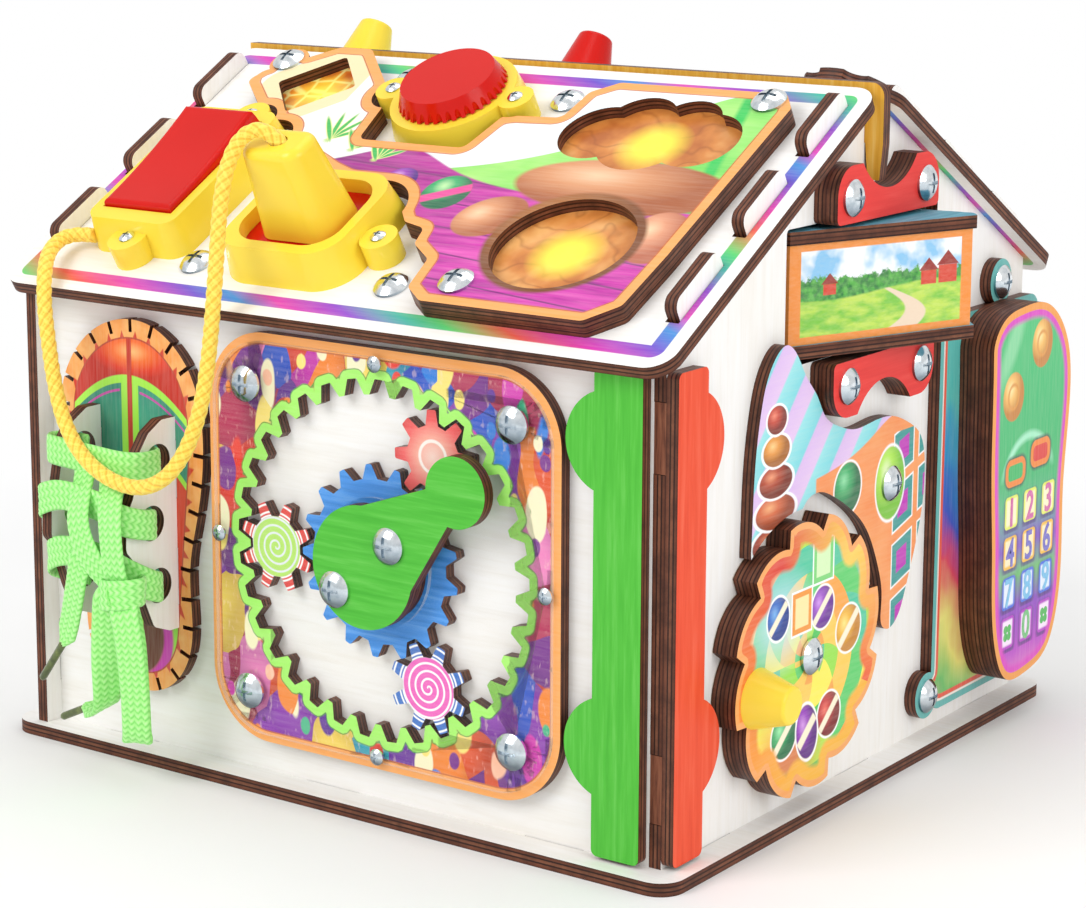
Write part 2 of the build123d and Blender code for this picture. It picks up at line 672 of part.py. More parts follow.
def gable_sketch(front_lip):
    """A gable in (y, z): five sides, ridge notch, roof tabs, foot tabs and wall slots."""
    outline = [
        (-HALF_DEPTH - front_lip, PLY), (HALF_DEPTH, PLY), (HALF_DEPTH, roof_under(HALF_DEPTH)),
        (0, roof_under(0)), (-HALF_DEPTH - front_lip, roof_under(HALF_DEPTH + front_lip)),
    ]
    sketch = make_face(Polyline(*outline, close=True))
    tab_height = ROOF_TAB_RISE + PLY + CUT_OVERRUN
    for step in range(3):
        up = ROOF_TAB_FIRST + step * ROOF_TAB_PITCH
        lift = (ROOF_TAB_RISE - PLY - CUT_OVERRUN) / 2
        y = -EAVE_Y + up * SLOPE_COS - lift * SLOPE_SIN
        z = EAVE_HEIGHT + up * SLOPE_SIN + lift * SLOPE_COS
        tab = RectangleRounded(ROOF_TAB_LENGTH, tab_height, ROOF_TAB_CORNER)
        sketch += Pos(y, z) * Rot(0, 0, ROOF_PITCH) * tab
        sketch += Pos(-y, z) * Rot(0, 0, -ROOF_PITCH) * tab
    for i in (-1, 0, 1):
        sketch += Pos(i * FOOT_TAB_SPREAD, PLY / 2) * Rectangle(FOOT_TAB_LENGTH, PLY)
    slots = [(side * (HALF_DEPTH - PLY / 2), z) for side in (-1, 1) for z in end_tab_heights()]
    sketch = slot_row(sketch, slots, PLY, END_TAB_LENGTH)
    notch_foot = RIDGE_TOP - RIDGE_DEPTH
    notch = Rectangle(SLOT_FIT_THICK, 2 * RIDGE_DEPTH)
    return sketch - Pos(0, notch_foot + RIDGE_DEPTH) * notch


def left_gable():
    return board(LEFT, gable_sketch(LEFT_LIP), -PLY)


def right_gable():
    """Right gable with the prism's window, the shelves' slots and the fixing holes."""
    window_height = WINDOW_HEAD - WINDOW_FOOT
    window = RectangleRounded(2 * WINDOW_HALF_WIDTH, window_height, WINDOW_CORNER)
    sketch = gable_sketch(0) - Pos(0, WINDOW_FOOT + window_height / 2) * window
    shelves = [(0, UPPER_SHELF + PLY / 2), (0, LOWER_SHELF + PLY / 2)]
    sketch = slot_row(sketch, shelves, SHELF_TAB_WIDTH, PLY)
    screws = bracket_screws() + frame_ears()
    screws += [(PLATE_SCREW_SIDE, PLATE_SCREW_HEIGHT), (WHEEL_Y, WHEEL_HEIGHT)]
    return board(RIGHT, drill(sketch, screws), -PLY)


def roof_sketch():
    """A roof board on its slope: x along the house, y up from the eave."""
    sketch = Pos(0, ROOF_SLOPE / 2) * RectangleRounded(ROOF_LENGTH, ROOF_SLOPE, ROOF_CORNER)
    for side in (-1, 1):
        x = side * (GABLE_X - PLY / 2)
        for step in range(3):
            up = ROOF_TAB_FIRST + step * ROOF_TAB_PITCH - ROOF_SLOT_SLACK / 2
            slot = Rectangle(SLOT_FIT_THICK, ROOF_TAB_LENGTH + 2 * SLOT_GAP + ROOF_SLOT_SLACK)
            sketch -= Pos(x, up) * slot
    return sketch


def led_places():
    return [
        (WING_WINDOW_ALONG, WING_WINDOW_UP),
        (CLOUD_WINDOW_ALONG, CLOUD_WINDOW_UP),
        (OVAL_WINDOW_ALONG, OVAL_WINDOW_UP),
    ]


def front_roof():
    """Front roof board with lamp holes, the knob's stem hole and screw holes."""
    sketch = drill(roof_sketch(), ROOF_SCREW_PLACES + overlay_screws())
    for x, y in led_places():
        sketch -= disc(x, y, LED_RADIUS + RUNNING_GAP)
    sketch -= disc(KNOB_ALONG, KNOB_UP, KNOB_STEM_RADIUS + RUNNING_GAP)
    for x, y in ear_places():
        sketch -= disc(x, y, SMALL_SHANK_RADIUS + HOLE_GAP)
    return board(ROOF_FRONT, sketch, -PLY)


def slider_screws():
    reach = SLIDER_LENGTH / 2 - DOME_RADIUS - PLY
    drop = SLIDER_WIDTH / 2 - DOME_RADIUS - PLY
    return [(-SLIDER_ALONG + i * reach, SLIDER_UP - drop) for i in (-1, 1)]


def slider_slots():
    """The two knobs' slots on the back roof, in its own mirrored x."""
    slot = SlotOverall(SLOT_LENGTH, SLOT_WIDTH)
    return [Pos(-x, SLOT_UP) * slot for x in (YELLOW_SLOT_ALONG, RED_SLOT_ALONG)]


def back_roof():
    """Back roof board with the two knob slots and the spinner's hole."""
    sketch = roof_sketch()
    for slot in slider_slots():
        sketch -= slot
    sketch = drill(sketch, slider_screws() + [(-SPINNER_ALONG, SPINNER_UP)])
    return board(ROOF_BACK, sketch, -PLY)


def ridge_board():
    """Upright board in the ridge with a tongue outside the right gable."""
    left = -GABLE_X - PLY
    right = GABLE_X + TONGUE_GAP + TONGUE_WIDTH
    foot = RIDGE_TOP - RIDGE_DEPTH
    profile = [
        (left, RIDGE_TOP), (right, RIDGE_TOP), (right, foot),
        (right - (TONGUE_WIDTH - TONGUE_TIP_WIDTH) / 2, TONGUE_TIP_HEIGHT),
        (GABLE_X + TONGUE_GAP + (TONGUE_WIDTH - TONGUE_TIP_WIDTH) / 2, TONGUE_TIP_HEIGHT),
        (GABLE_X + TONGUE_GAP, foot), (left, foot),
    ]
    face = make_face(Polyline(*profile, close=True))
    corner = [v for v in face.vertices() if v.X > GABLE_X and v.Y > RIDGE_TOP - TONGUE_GAP]
    face = fillet(corner, RIDGE_CORNER)
    plane = Plane(origin=(0, PLY / 2, 0), x_dir=(1, 0, 0), z_dir=(0, -1, 0))
    return board(plane, face, 0)


def trim_face(inner, outer, top, bulge_reach):
    """A corner strip between two sides, with two round bulges off the inner side."""
    foot = PLY + TRIM_FOOT_GAP
    width = abs(outer - inner)
    middle = (inner + outer) / 2
    direction = 1 if outer > inner else -1
    strip = RectangleRounded(width, top - foot, TRIM_CORNER)
    sketch = Pos(middle, (top + foot) / 2) * strip
    centre = inner + direction * (TRIM_BULGE_RADIUS - bulge_reach)
    for z in (top - TRIM_UPPER_BULGE_DROP, TRIM_LOWER_BULGE_HEIGHT):
        beyond = Pos(outer + direction * TRIM_BULGE_RADIUS, z) * Rectangle(2 * TRIM_BULGE_RADIUS, 4 * TRIM_BULGE_RADIUS)
        sketch += disc(centre, z, TRIM_BULGE_RADIUS) - beyond
    return sketch


def corner_trim_green():
    top = roof_under(HALF_DEPTH) - TRIM_TOP_GAP
    return board(FRONT, trim_face(TRIM_RIGHT - GREEN_TRIM_WIDTH, TRIM_RIGHT, top, GREEN_TRIM_BULGE))


def corner_trim_red():
    top = roof_under(HALF_DEPTH) - TRIM_TOP_GAP
    return board(RIGHT, trim_face(RED_TRIM_WIDTH - HALF_DEPTH, -HALF_DEPTH, top, RED_TRIM_BULGE))


def lacing_places():
    """Centre of each lacing plate along the wall."""
    middle = SOLE_X + LACING_SHIFT
    return [middle - LACING_SPACING / 2, middle + LACING_SPACING / 2]


def lacing_tab_heights():
    middle = LACING_FOOT + LACING_HEIGHT / 2
    return [middle - LACING_TAB_SPREAD, middle + LACING_TAB_SPREAD]


def shoe_sole():
    """Shoe-shaped board, notched all round, with slots for the two lacing plates."""
    points = shaped(SOLE_OUTLINE_SHARES, SOLE_X, SOLE_HEIGHT, SOLE_WIDTH, SOLE_LENGTH)
    rim = Spline(*points, periodic=True)
    sketch = make_face(rim)
    for step in range(SOLE_NOTCHES):
        place = rim.position_at(step / SOLE_NOTCHES)
        heading = rim.tangent_at(step / SOLE_NOTCHES)
        turn = Vector(1, 0, 0).get_signed_angle(heading, Vector(0, 0, 1))
        sketch -= Pos(place.X, place.Y) * Rot(0, 0, turn) * Rectangle(NOTCH_WIDTH, 2 * NOTCH_DEPTH)
    slots = [(x, z) for x in lacing_places() for z in lacing_tab_heights()]
    return board(FRONT, slot_row(sketch, slots, PLY, LACING_TAB_LENGTH))


def lacing_plates():
    """Two plates that stand out of the sole, each with three lace holes."""
    pieces = []
    for x in lacing_places():
        # local x runs out of the wall, local y up
        plane = Plane(origin=(x + PLY / 2, -HALF_DEPTH - PLY, 0), x_dir=(0, -1, 0), z_dir=(-1, 0, 0))
        points = [(a * LACING_DEPTH, LACING_FOOT + b * LACING_HEIGHT) for a, b in LACING_OUTLINE_SHARES]
        sketch = make_face(Polyline(*points, close=True))
        outer = [v for v in sketch.vertices() if v.X > LACING_CORNER]
        sketch = fillet(outer, LACING_CORNER)
        for z in lacing_tab_heights():
            sketch += Pos(-PLY / 2, z) * Rectangle(PLY, LACING_TAB_LENGTH)
        for a, b in LACING_HOLE_SHARES:
            sketch -= disc(a * LACING_DEPTH, LACING_FOOT + b * LACING_HEIGHT, LACING_HOLE_RADIUS)
        pieces.append(board(plane, sketch))
    return Compound(children=pieces)


def tube(route, radius, name, run_share):
    """A round cord along straight runs joined by arcs as large as the runs allow."""
    points = [Vector(*p) for p in route]
    radii = []
    for a, b, c in zip(points, points[1:], points[2:]):
        turn = radians((b - a).get_angle(c - b))
        radii.append(run_share * min((b - a).length, (c - b).length) / tan(turn / 2))
    path = FilletPolyline(*points, radius=radii)
    start = Plane(origin=points[0], z_dir=points[1] - points[0])
    cord = sweep(start * Circle(radius), path=path)
    length = sum(edge.length for edge in path.edges())
    error = cord.volume / (pi * radius ** 2 * length) - 1
    print(name, "radii", [round(r, 1) for r in radii], "length", round(length, 1), "volume error", round(error, 5))
    return cord


def rung_places():
    """Where the lace crosses between the plates, resting low in their holes."""
    drop = LACING_HOLE_RADIUS - LACE_RADIUS - LACE_REST_GAP
    return [
        (-HALF_DEPTH - PLY - a * LACING_DEPTH, LACING_FOOT + b * LACING_HEIGHT - drop)
        for a, b in LACING_HOLE_SHARES
    ]


def bow_knot():
    """The knot on the lowest crossing, between the plates, with its two hanging ends."""
    y, z = rung_places()[-1]
    x = SOLE_X + LACING_SHIFT + KNOT_SHIFT
    reach = LACE_RADIUS + KNOT_DEPTH / 2 - KNOT_SEAT
    knot = Pos(x, y - reach, z) * Box(KNOT_WIDTH, KNOT_DEPTH, KNOT_HEIGHT)
    knot = fillet(knot.edges(), KNOT_ROUND)
    knot += tube(SHORT_LACE_END, LACE_RADIUS, "short lace end", LACE_RUN_SHARE)
    return knot + tube(LONG_LACE_END, LACE_RADIUS, "long lace end", LACE_RUN_SHARE)


def shoelace():
    """Lace: three crossings through the plates, the lowest of them with the knot."""
    left, right = lacing_places()
    length = right - left + PLY + 2 * LACE_OVERLAP
    rungs = [
        Pos((left + right) / 2, y, z) * Rot(0, 90, 0) * Cylinder(LACE_RADIUS, length)
        for y, z in rung_places()
    ]
    return Compound(children=[rungs[0], rungs[1], rungs[2] + bow_knot()])


def lace_tips():
    """Stiff tips on the two lace ends."""
    pieces = []
    for route in (SHORT_LACE_END, LONG_LACE_END):
        end = Vector(*route[-1])
        heading = (end - Vector(*route[-2])).normalized()
        plane = Plane(origin=end, z_dir=heading)
        pieces.append(extrude(plane * Circle(TIP_RADIUS), amount=TIP_LENGTH))
    return Compound(children=pieces)


def panel_outline(inset=0):
    outline = RectangleRounded(PANEL_WIDTH - 2 * inset, PANEL_HEIGHT - 2 * inset, PANEL_CORNER - inset)
    return Pos(GEAR_X, GEAR_HEIGHT) * outline


def gear_panel():
    """Printed board with the ring of inner teeth."""
    ring = gear_face(
        RING_TEETH, RING_TIP_RADIUS, RING_ROOT_RADIUS, RING_GAP_TIP_WIDTH_SHARE * TOOTH_MODULE,
        RING_GAP_ROOT_WIDTH_SHARE * TOOTH_MODULE, FIRST_PLANET_ANGLE + 180 / RING_TEETH,
    )
    sketch = panel_outline() - Pos(GEAR_X, GEAR_HEIGHT) * ring
    sketch = drill(sketch, panel_screws())
    return board(FRONT, drill(sketch, cover_screws(), SMALL_SHANK_RADIUS))


def gear_cover():
    """Clear sheet over the gears with a round hole for the crank."""
    sketch = panel_outline(COVER_INSET) - disc(GEAR_X, GEAR_HEIGHT, COVER_HOLE_RADIUS)
    sketch = drill(sketch, panel_screws())
    return board(FRONT, drill(sketch, cover_screws(), SMALL_SHANK_RADIUS), PLY, CLEAR_SHEET)


def gear_backing():
    """Board behind the wall that closes the carrier's well and carries the axle."""
    sketch = panel_outline() - disc(GEAR_X, GEAR_HEIGHT, AXLE_RADIUS + PIVOT_GAP)
    return board(FRONT, drill(sketch, panel_screws()), -2 * PLY)


def sun_gear():
    """Blue gear with the axle's bore and the crank's screw holes."""
    tip = SUN_PITCH_RADIUS + TOOTH_MODULE * SUN_TIP_SHARE
    face = gear_face(
        SUN_TEETH, SUN_PITCH_RADIUS - TOOTH_MODULE * SUN_ROOT_SHARE, tip,
        SUN_ROOT_WIDTH_SHARE * TOOTH_MODULE, SUN_TIP_WIDTH_SHARE * TOOTH_MODULE, FIRST_PLANET_ANGLE,
    )
    face = rounded_tips(face, tip, TOOTH_ROUND_SHARE * TOOTH_MODULE)
    face = drill(face, crank_screw_offsets()) - Circle(AXLE_RADIUS)
    return board(FRONT, Pos(GEAR_X, GEAR_HEIGHT) * face, GEAR_LIFT, GEAR_THICK)


def sun_axle():
    """Axle from the sun gear through the carrier and the backing to a flange inside."""
    centre = Pos(GEAR_X, GEAR_HEIGHT)
    inner = 2 * PLY + RUNNING_GAP
    rod = board(FRONT, centre * Circle(AXLE_RADIUS), -inner, inner + SPACER_LIFT)
    flange = board(FRONT, centre * Circle(AXLE_FLANGE_RADIUS), -inner - AXLE_FLANGE_THICK, AXLE_FLANGE_THICK)
    return rod + flange


def planet_angles():
    return [FIRST_PLANET_ANGLE + step * STEP_ANGLE for step in PLANET_STEPS]


def planet_place(index):
    dx, dz = polar(PLANET_ORBIT, planet_angles()[index])
    return GEAR_X + dx, GEAR_HEIGHT + dz


def planet_gear(index):
    """One small gear with a blind bore for its pin."""
    tip = PLANET_PITCH_RADIUS + TOOTH_MODULE * PLANET_TIP_SHARE
    inward = planet_angles()[index] + 180
    # the sun's teeth lie whole pitches from the first one, so the mesh phase follows the orbit
    phase = inward + 180 / PLANET_TEETH + SUN_TEETH / PLANET_TEETH * STEP_ANGLE * PLANET_STEPS[index]
    face = gear_face(
        PLANET_TEETH, PLANET_PITCH_RADIUS - TOOTH_MODULE * PLANET_ROOT_SHARE, tip,
        PLANET_ROOT_WIDTH_SHARE * TOOTH_MODULE, PLANET_TIP_WIDTH_SHARE * TOOTH_MODULE, phase,
    )
    face = rounded_tips(face, tip, TOOTH_ROUND_SHARE * TOOTH_MODULE)
    centre = Pos(*planet_place(index))
    bore_depth = PLANET_PIN_RISE + RUNNING_GAP
    bore = board(FRONT, centre * Circle(PLANET_PIN_RADIUS + PIVOT_GAP), 0, bore_depth)
    return board(FRONT, centre * face, GEAR_LIFT, GEAR_THICK) - bore


def planet_carrier():
    """White disc flush in the wall, turning on the axle, with three pins."""
    sketch = disc(GEAR_X, GEAR_HEIGHT, CARRIER_RADIUS)
    sketch -= disc(GEAR_X, GEAR_HEIGHT, AXLE_RADIUS + PIVOT_GAP)
    carrier = board(FRONT, sketch, FACE_GAP - PLY, PLY - FACE_GAP)
    for index in range(len(PLANET_STEPS)):
        pin = Pos(*planet_place(index)) * Circle(PLANET_PIN_RADIUS)
        carrier += board(FRONT, pin, -FACE_GAP, PLANET_PIN_RISE + FACE_GAP)
    return carrier


def crank_spacer():
    """Round spacer between the sun gear and the crank, through the cover's hole."""
    sketch = Circle(SPACER_RADIUS)
    sketch = drill(sketch, crank_screw_offsets())
    return board(FRONT, Pos(GEAR_X, GEAR_HEIGHT) * sketch, SPACER_LIFT)


def crank_screw_offsets():
    """Two screws in line with the handle, one each side of the axis."""
    return [polar(CRANK_SCREW_REACH, CRANK_ANGLE), polar(CRANK_SCREW_REACH, CRANK_ANGLE + 180)]


def crank_arm():
    """Green teardrop crank: a large lobe, a tapered neck and a round handle."""
    neck = [
        (0, -CRANK_LOBE_RADIUS), (CRANK_NECK_REACH, -CRANK_NECK_HALF_WIDTH),
        (CRANK_BULB_REACH, -CRANK_NECK_HALF_WIDTH), (CRANK_BULB_REACH, CRANK_NECK_HALF_WIDTH),
        (CRANK_NECK_REACH, CRANK_NECK_HALF_WIDTH), (0, CRANK_LOBE_RADIUS),
    ]
    sketch = Circle(CRANK_LOBE_RADIUS) + make_face(Polyline(*neck, close=True))
    sketch += disc(CRANK_BULB_REACH, 0, CRANK_BULB_RADIUS)
    sketch = Rot(0, 0, CRANK_ANGLE) * sketch
    sketch = drill(sketch, crank_screw_offsets())
    return board(FRONT, Pos(GEAR_X, GEAR_HEIGHT) * sketch, CRANK_LIFT)


def crank_screws():
    """Screws that hold the crank and its spacer to the sun gear."""
    top = CRANK_LIFT + PLY
    pieces = []
    for dx, dz in crank_screw_offsets():
        pieces.append(FRONT * Pos(GEAR_X + dx, GEAR_HEIGHT + dz, top) * dome_screw(top - GEAR_LIFT))
    return Compound(children=pieces)


def overlay_screws():
    """The overlay's screws: two in its field and one in its ear."""
    return OVERLAY_SCREW_PLACES + [WING_SCREW_PLACE]


def overlay_outline():
    """The overlay's outline, cut back round every fitting that it passes."""
    points = [(a * OVERLAY_SPAN, b * OVERLAY_SPAN) for a, b in OVERLAY_OUTLINE_SHARES]
    sketch = cornered_face(points, OVERLAY_CORNER) + disc(*WING_SCREW_PLACE, OVERLAY_EAR_RADIUS)
    sketch -= disc(KNOB_ALONG, KNOB_UP, KNOB_RING_RADIUS + FITTING_GAP)
    for place, radius in zip(ear_places(), ear_radii()):
        sketch -= disc(*place, radius + FITTING_GAP)
    blocks = (
        (HOUSING_ALONG, HOUSING_UP, HOUSING_WIDTH, HOUSING_LENGTH, HOUSING_CORNER),
        (SOCKET_ALONG, SOCKET_UP, SOCKET_WIDTH, SOCKET_LENGTH, SOCKET_CORNER),
    )
    for x, y, width, length, corner in blocks:
        gap = 2 * FITTING_GAP
        sketch -= Pos(x, y) * RectangleRounded(width + gap, length + gap, corner + FITTING_GAP)
    return sketch


def window_faces(ledge):
    """The three light windows, each grown by a ledge."""
    wing = RectangleRounded(WING_WINDOW_LENGTH + 2 * ledge, WING_WINDOW_WIDTH + 2 * ledge, WINDOW_CORNER)
    wing = Pos(WING_WINDOW_ALONG, WING_WINDOW_UP) * Rot(0, 0, WING_WINDOW_ANGLE) * wing
    cloud = None
    for a, b, r in CLOUD_PUFFS_SHARES:
        x = CLOUD_WINDOW_ALONG + a * CLOUD_WINDOW_WIDTH
        y = CLOUD_WINDOW_UP + b * CLOUD_WINDOW_LENGTH
        puff = disc(x, y, r * CLOUD_WINDOW_LENGTH + ledge)
        cloud = puff if cloud is None else cloud + puff
    oval = Pos(OVAL_WINDOW_ALONG, OVAL_WINDOW_UP) * Ellipse(OVAL_WINDOW_LONG / 2 + ledge, OVAL_WINDOW_SHORT / 2 + ledge)
    return [wing, cloud, oval]


def overlay_board():
    """Printed picture board on top of the backing."""
    sketch = drill(overlay_outline(), overlay_screws())
    for window in window_faces(0):
        sketch -= window
    return board(ROOF_FRONT, sketch, BACKING_THICK)


def overlay_backing():
    """Thin board under the picture board, open for the clear window sheets."""
    sketch = drill(overlay_outline(), overlay_screws())
    for window in window_faces(WINDOW_LEDGE + FACE_GAP):
        sketch -= window
    return board(ROOF_FRONT, sketch, 0, BACKING_THICK)


def light_windows():
    """Clear sheets held under the picture board's three windows."""
    pieces = [board(ROOF_FRONT, face, FACE_GAP, BACKING_THICK - FACE_GAP) for face in window_faces(WINDOW_LEDGE)]
    return Compound(children=pieces)


def led_boards():
    """Lamp boards under the roof, each with one lamp through its hole."""
    pieces = []
    for x, y in led_places():
        plate = Pos(x, y) * Rectangle(LED_BOARD_LENGTH, LED_BOARD_WIDTH)
        lamp = Pos(x, y) * Circle(LED_RADIUS)
        lift = -PLY - LED_BOARD_THICK
        piece = board(ROOF_FRONT, plate, lift, LED_BOARD_THICK)
        pieces.append(piece + board(ROOF_FRONT, lamp, -PLY, PLY - LED_TIP_GAP))
    return Compound(children=pieces)


def battery_box():
    """Battery box on the floor behind the hatch."""
    middle = HALF_DEPTH - PLY - BATTERY_WIDTH
    box = Pos(0, middle, PLY + BATTERY_HEIGHT / 2) * Box(BATTERY_LENGTH, BATTERY_WIDTH, BATTERY_HEIGHT)
    return fillet(box.edges().filter_by(Axis.Z), WINDOW_CORNER)


def light_wires():
    """Wires from the battery box up to the lamp boards."""
    pieces = []
    start_y = HALF_DEPTH - PLY - BATTERY_WIDTH
    floor = PLY + BATTERY_HEIGHT
    for index, (x, up) in enumerate(led_places()):
        start_x = (index - 1) * WIRE_SPACING
        lift = PLY + LED_BOARD_THICK
        end = (x - WIRE_SIDE, -EAVE_Y + up * SLOPE_COS + lift * SLOPE_SIN, EAVE_HEIGHT + up * SLOPE_SIN - lift * SLOPE_COS)
        below = (end[0], end[1] + WIRE_BEND * SLOPE_SIN, end[2] - WIRE_BEND * SLOPE_COS)
        rise = (start_x, start_y, floor + WIRE_BEND)
        middle = ((start_x + end[0]) / 2, (start_y + end[1]) / 2, (floor + end[2]) / 2)
        route = [(start_x, start_y, floor), rise, middle, below, end]
        pieces.append(tube(route, WIRE_RADIUS, "wire", ROPE_RUN_SHARE))
    return Compound(children=pieces)


def drafted(width, length, corner, height, draft):
    """A rounded block that narrows evenly to its top."""
    foot = RectangleRounded(width, length, corner)
    top = Pos(0, 0, height) * RectangleRounded(width - 2 * draft, length - 2 * draft, corner - draft)
    return loft([foot, top])


def on_roof(along, up, lift=0):
    return ROOF_FRONT * Pos(along, up, lift)


def housing_ears():
    reach = HOUSING_LENGTH / 2 + HOUSING_EAR_OFFSET
    return [(HOUSING_ALONG + HOUSING_EAR_OFFSET, HOUSING_UP + side * reach) for side in (-1, 1)]


def knob_ears():
    return [(KNOB_ALONG + side * KNOB_EAR_REACH, KNOB_UP) for side in (-1, 1)]


def socket_ear():
    return [(SOCKET_ALONG + SOCKET_WIDTH / 2 + SOCKET_EAR_SHIFT, SOCKET_UP - SOCKET_EAR_SHIFT)]


def ear_places():
    """Every ear of the roof fittings."""
    return housing_ears() + knob_ears() + socket_ear()


def ear_radii():
    """Radius of each ear, in the order of their places."""
    return [HOUSING_EAR_RADIUS] * 2 + [KNOB_EAR_RADIUS] * 2 + [SOCKET_EAR_RADIUS]


def ears(solid, places, radius, height):
    """Add round ears to a fitting, then drill them."""
    for x, y in places:
        solid += on_roof(x, y, height / 2) * Cylinder(radius, height)
    for x, y in places:
        solid -= on_roof(x, y, height / 2) * Cylinder(SMALL_SHANK_RADIUS + HOLE_GAP, height + CUT_OVERRUN)
    return solid


def rope_bore(index, neighbour, depth):
    """Blind bore for the rope's end, along its last run."""
    end = Vector(*ROPE_ROUTE[index])
    heading = (Vector(*ROPE_ROUTE[neighbour]) - end).normalized()
    plane = Plane(origin=end, z_dir=heading)
    return extrude(plane * Circle(ROPE_RADIUS + ROPE_BORE_GAP), amount=depth)


def switch_housing():
    """Yellow rocker housing: a drafted shell with ears, pivot bores and the rope's bore."""
    body = on_roof(HOUSING_ALONG, HOUSING_UP) * drafted(
        HOUSING_WIDTH, HOUSING_LENGTH, HOUSING_CORNER, HOUSING_HEIGHT, HOUSING_DRAFT
    )
    body = ears(body, housing_ears(), HOUSING_EAR_RADIUS, HOUSING_EAR_HEIGHT)
    well = Box(ROCKER_WIDTH + 2 * RUNNING_GAP, 2 * (ROCKER_RADIUS + RUNNING_GAP), 3 * HOUSING_HEIGHT)
    body -= on_roof(HOUSING_ALONG, HOUSING_UP) * well
    reach = ROCKER_WIDTH + 2 * (ROCKER_PIN_REACH + RUNNING_GAP)
    pin = Rot(0, 90, 0) * Cylinder(ROCKER_PIN_RADIUS + PIVOT_GAP, reach)
    body -= on_roof(HOUSING_ALONG, HOUSING_UP, ROCKER_PIVOT_HEIGHT) * pin
    return body - rope_bore(0, 1, HOUSING_WIDTH / 2)


def switch_rocker():
    """Red rocker, pressed at its lower end, with round ends about its pivot."""
    half = ROCKER_RADIUS
    top = [
        (-half, ROCKER_LOW_TOP), (0, (ROCKER_LOW_TOP + ROCKER_HIGH_TOP) / 2 - ROCKER_HOLLOW),
        (half, ROCKER_HIGH_TOP),
    ]
    profile = make_face(
        [
            ThreePointArc(*top),
            Line(top[2], (half, ROCKER_HIGH_BOTTOM)),
            Line((half, ROCKER_HIGH_BOTTOM), (0, ROCKER_MIDDLE_BOTTOM)),
            Line((0, ROCKER_MIDDLE_BOTTOM), (-half, ROCKER_LOW_BOTTOM)),
            Line((-half, ROCKER_LOW_BOTTOM), top[0]),
        ]
    )
    profile = profile & disc(0, ROCKER_PIVOT_HEIGHT, half)
    # local x of the profile runs up the slope, its y runs off the roof
    plane = Plane(origin=(-ROCKER_WIDTH / 2, 0, 0), x_dir=(0, 1, 0), z_dir=(1, 0, 0))
    rocker = extrude(plane * profile, amount=ROCKER_WIDTH)
    upper = [e for e in rocker.edges() if e.center().Z > ROCKER_LOW_TOP - ROCKER_ROUND]
    rocker = fillet(upper, ROCKER_ROUND)
    pin = Rot(0, 90, 0) * Cylinder(ROCKER_PIN_RADIUS, ROCKER_WIDTH + 2 * ROCKER_PIN_REACH)
    rocker += Pos(0, 0, ROCKER_PIVOT_HEIGHT) * pin
    return on_roof(HOUSING_ALONG, HOUSING_UP) * rocker


def socket_frame():
    """Yellow socket surround with one ear and an open well."""
    body = on_roof(SOCKET_ALONG, SOCKET_UP) * drafted(
        SOCKET_WIDTH, SOCKET_LENGTH, SOCKET_CORNER, SOCKET_HEIGHT, SOCKET_DRAFT
    )
    body = ears(body, socket_ear(), SOCKET_EAR_RADIUS, HOUSING_EAR_HEIGHT)
    well = RectangleRounded(SOCKET_WELL_WIDTH, SOCKET_WELL_LENGTH, SOCKET_WELL_CORNER)
    return body - on_roof(SOCKET_ALONG, SOCKET_UP, -CUT_OVERRUN) * extrude(well, amount=2 * SOCKET_HEIGHT)


def prong_holes(radius, height):
    return [
        on_roof(SOCKET_ALONG + side * PRONG_SPACING / 2, SOCKET_UP, height / 2) * Cylinder(radius, height)
        for side in (-1, 1)
    ]


def socket_insert():
    """Red insert in the well with two holes for the plug's prongs."""
    gap = 2 * FACE_GAP
    face = RectangleRounded(SOCKET_WELL_WIDTH - gap, SOCKET_WELL_LENGTH - gap, SOCKET_WELL_CORNER - FACE_GAP)
    insert = on_roof(SOCKET_ALONG, SOCKET_UP) * extrude(face, amount=INSERT_THICK)
    for hole in prong_holes(PRONG_RADIUS + RUNNING_GAP, 2 * INSERT_THICK):
        insert -= hole
    return insert


def plug_body():
    """Yellow toy plug, tapered and rounded, with the rope's bore in its top."""
    foot = RectangleRounded(PLUG_BASE_WIDTH, PLUG_BASE_LENGTH, PLUG_CORNER)
    top = Pos(0, 0, PLUG_HEIGHT) * RectangleRounded(PLUG_TOP_WIDTH, PLUG_TOP_LENGTH, PLUG_TOP_CORNER)
    body = loft([foot, top])
    body = fillet(body.edges().group_by(Axis.Z)[-1], PLUG_ROUND)
    body = on_roof(SOCKET_ALONG, SOCKET_UP, INSERT_THICK + RUNNING_GAP) * body
    return body - rope_bore(-1, -2, 2 * ROPE_BORE_DEPTH)


def plug_prongs():
    """Two round prongs that plug into the insert."""
    length = INSERT_THICK + RUNNING_GAP - PRONG_TIP_GAP
    pieces = []
    for side in (-1, 1):
        place = on_roof(SOCKET_ALONG + side * PRONG_SPACING / 2, SOCKET_UP, PRONG_TIP_GAP + length / 2)
        pieces.append(place * Cylinder(PRONG_RADIUS, length))
    return Compound(children=pieces)


def knob_ring():
    """Yellow ring round the knob's stem, with two ears."""
    height = KNOB_RING_HEIGHT
    ring = on_roof(KNOB_ALONG, KNOB_UP, height / 2) * Cone(KNOB_RING_RADIUS, KNOB_RING_TOP_RADIUS, height)
    ring = ears(ring, knob_ears(), KNOB_EAR_RADIUS, height)
    bore = Cylinder(KNOB_STEM_RADIUS + RUNNING_GAP, 2 * height)
    return ring - on_roof(KNOB_ALONG, KNOB_UP, height) * bore


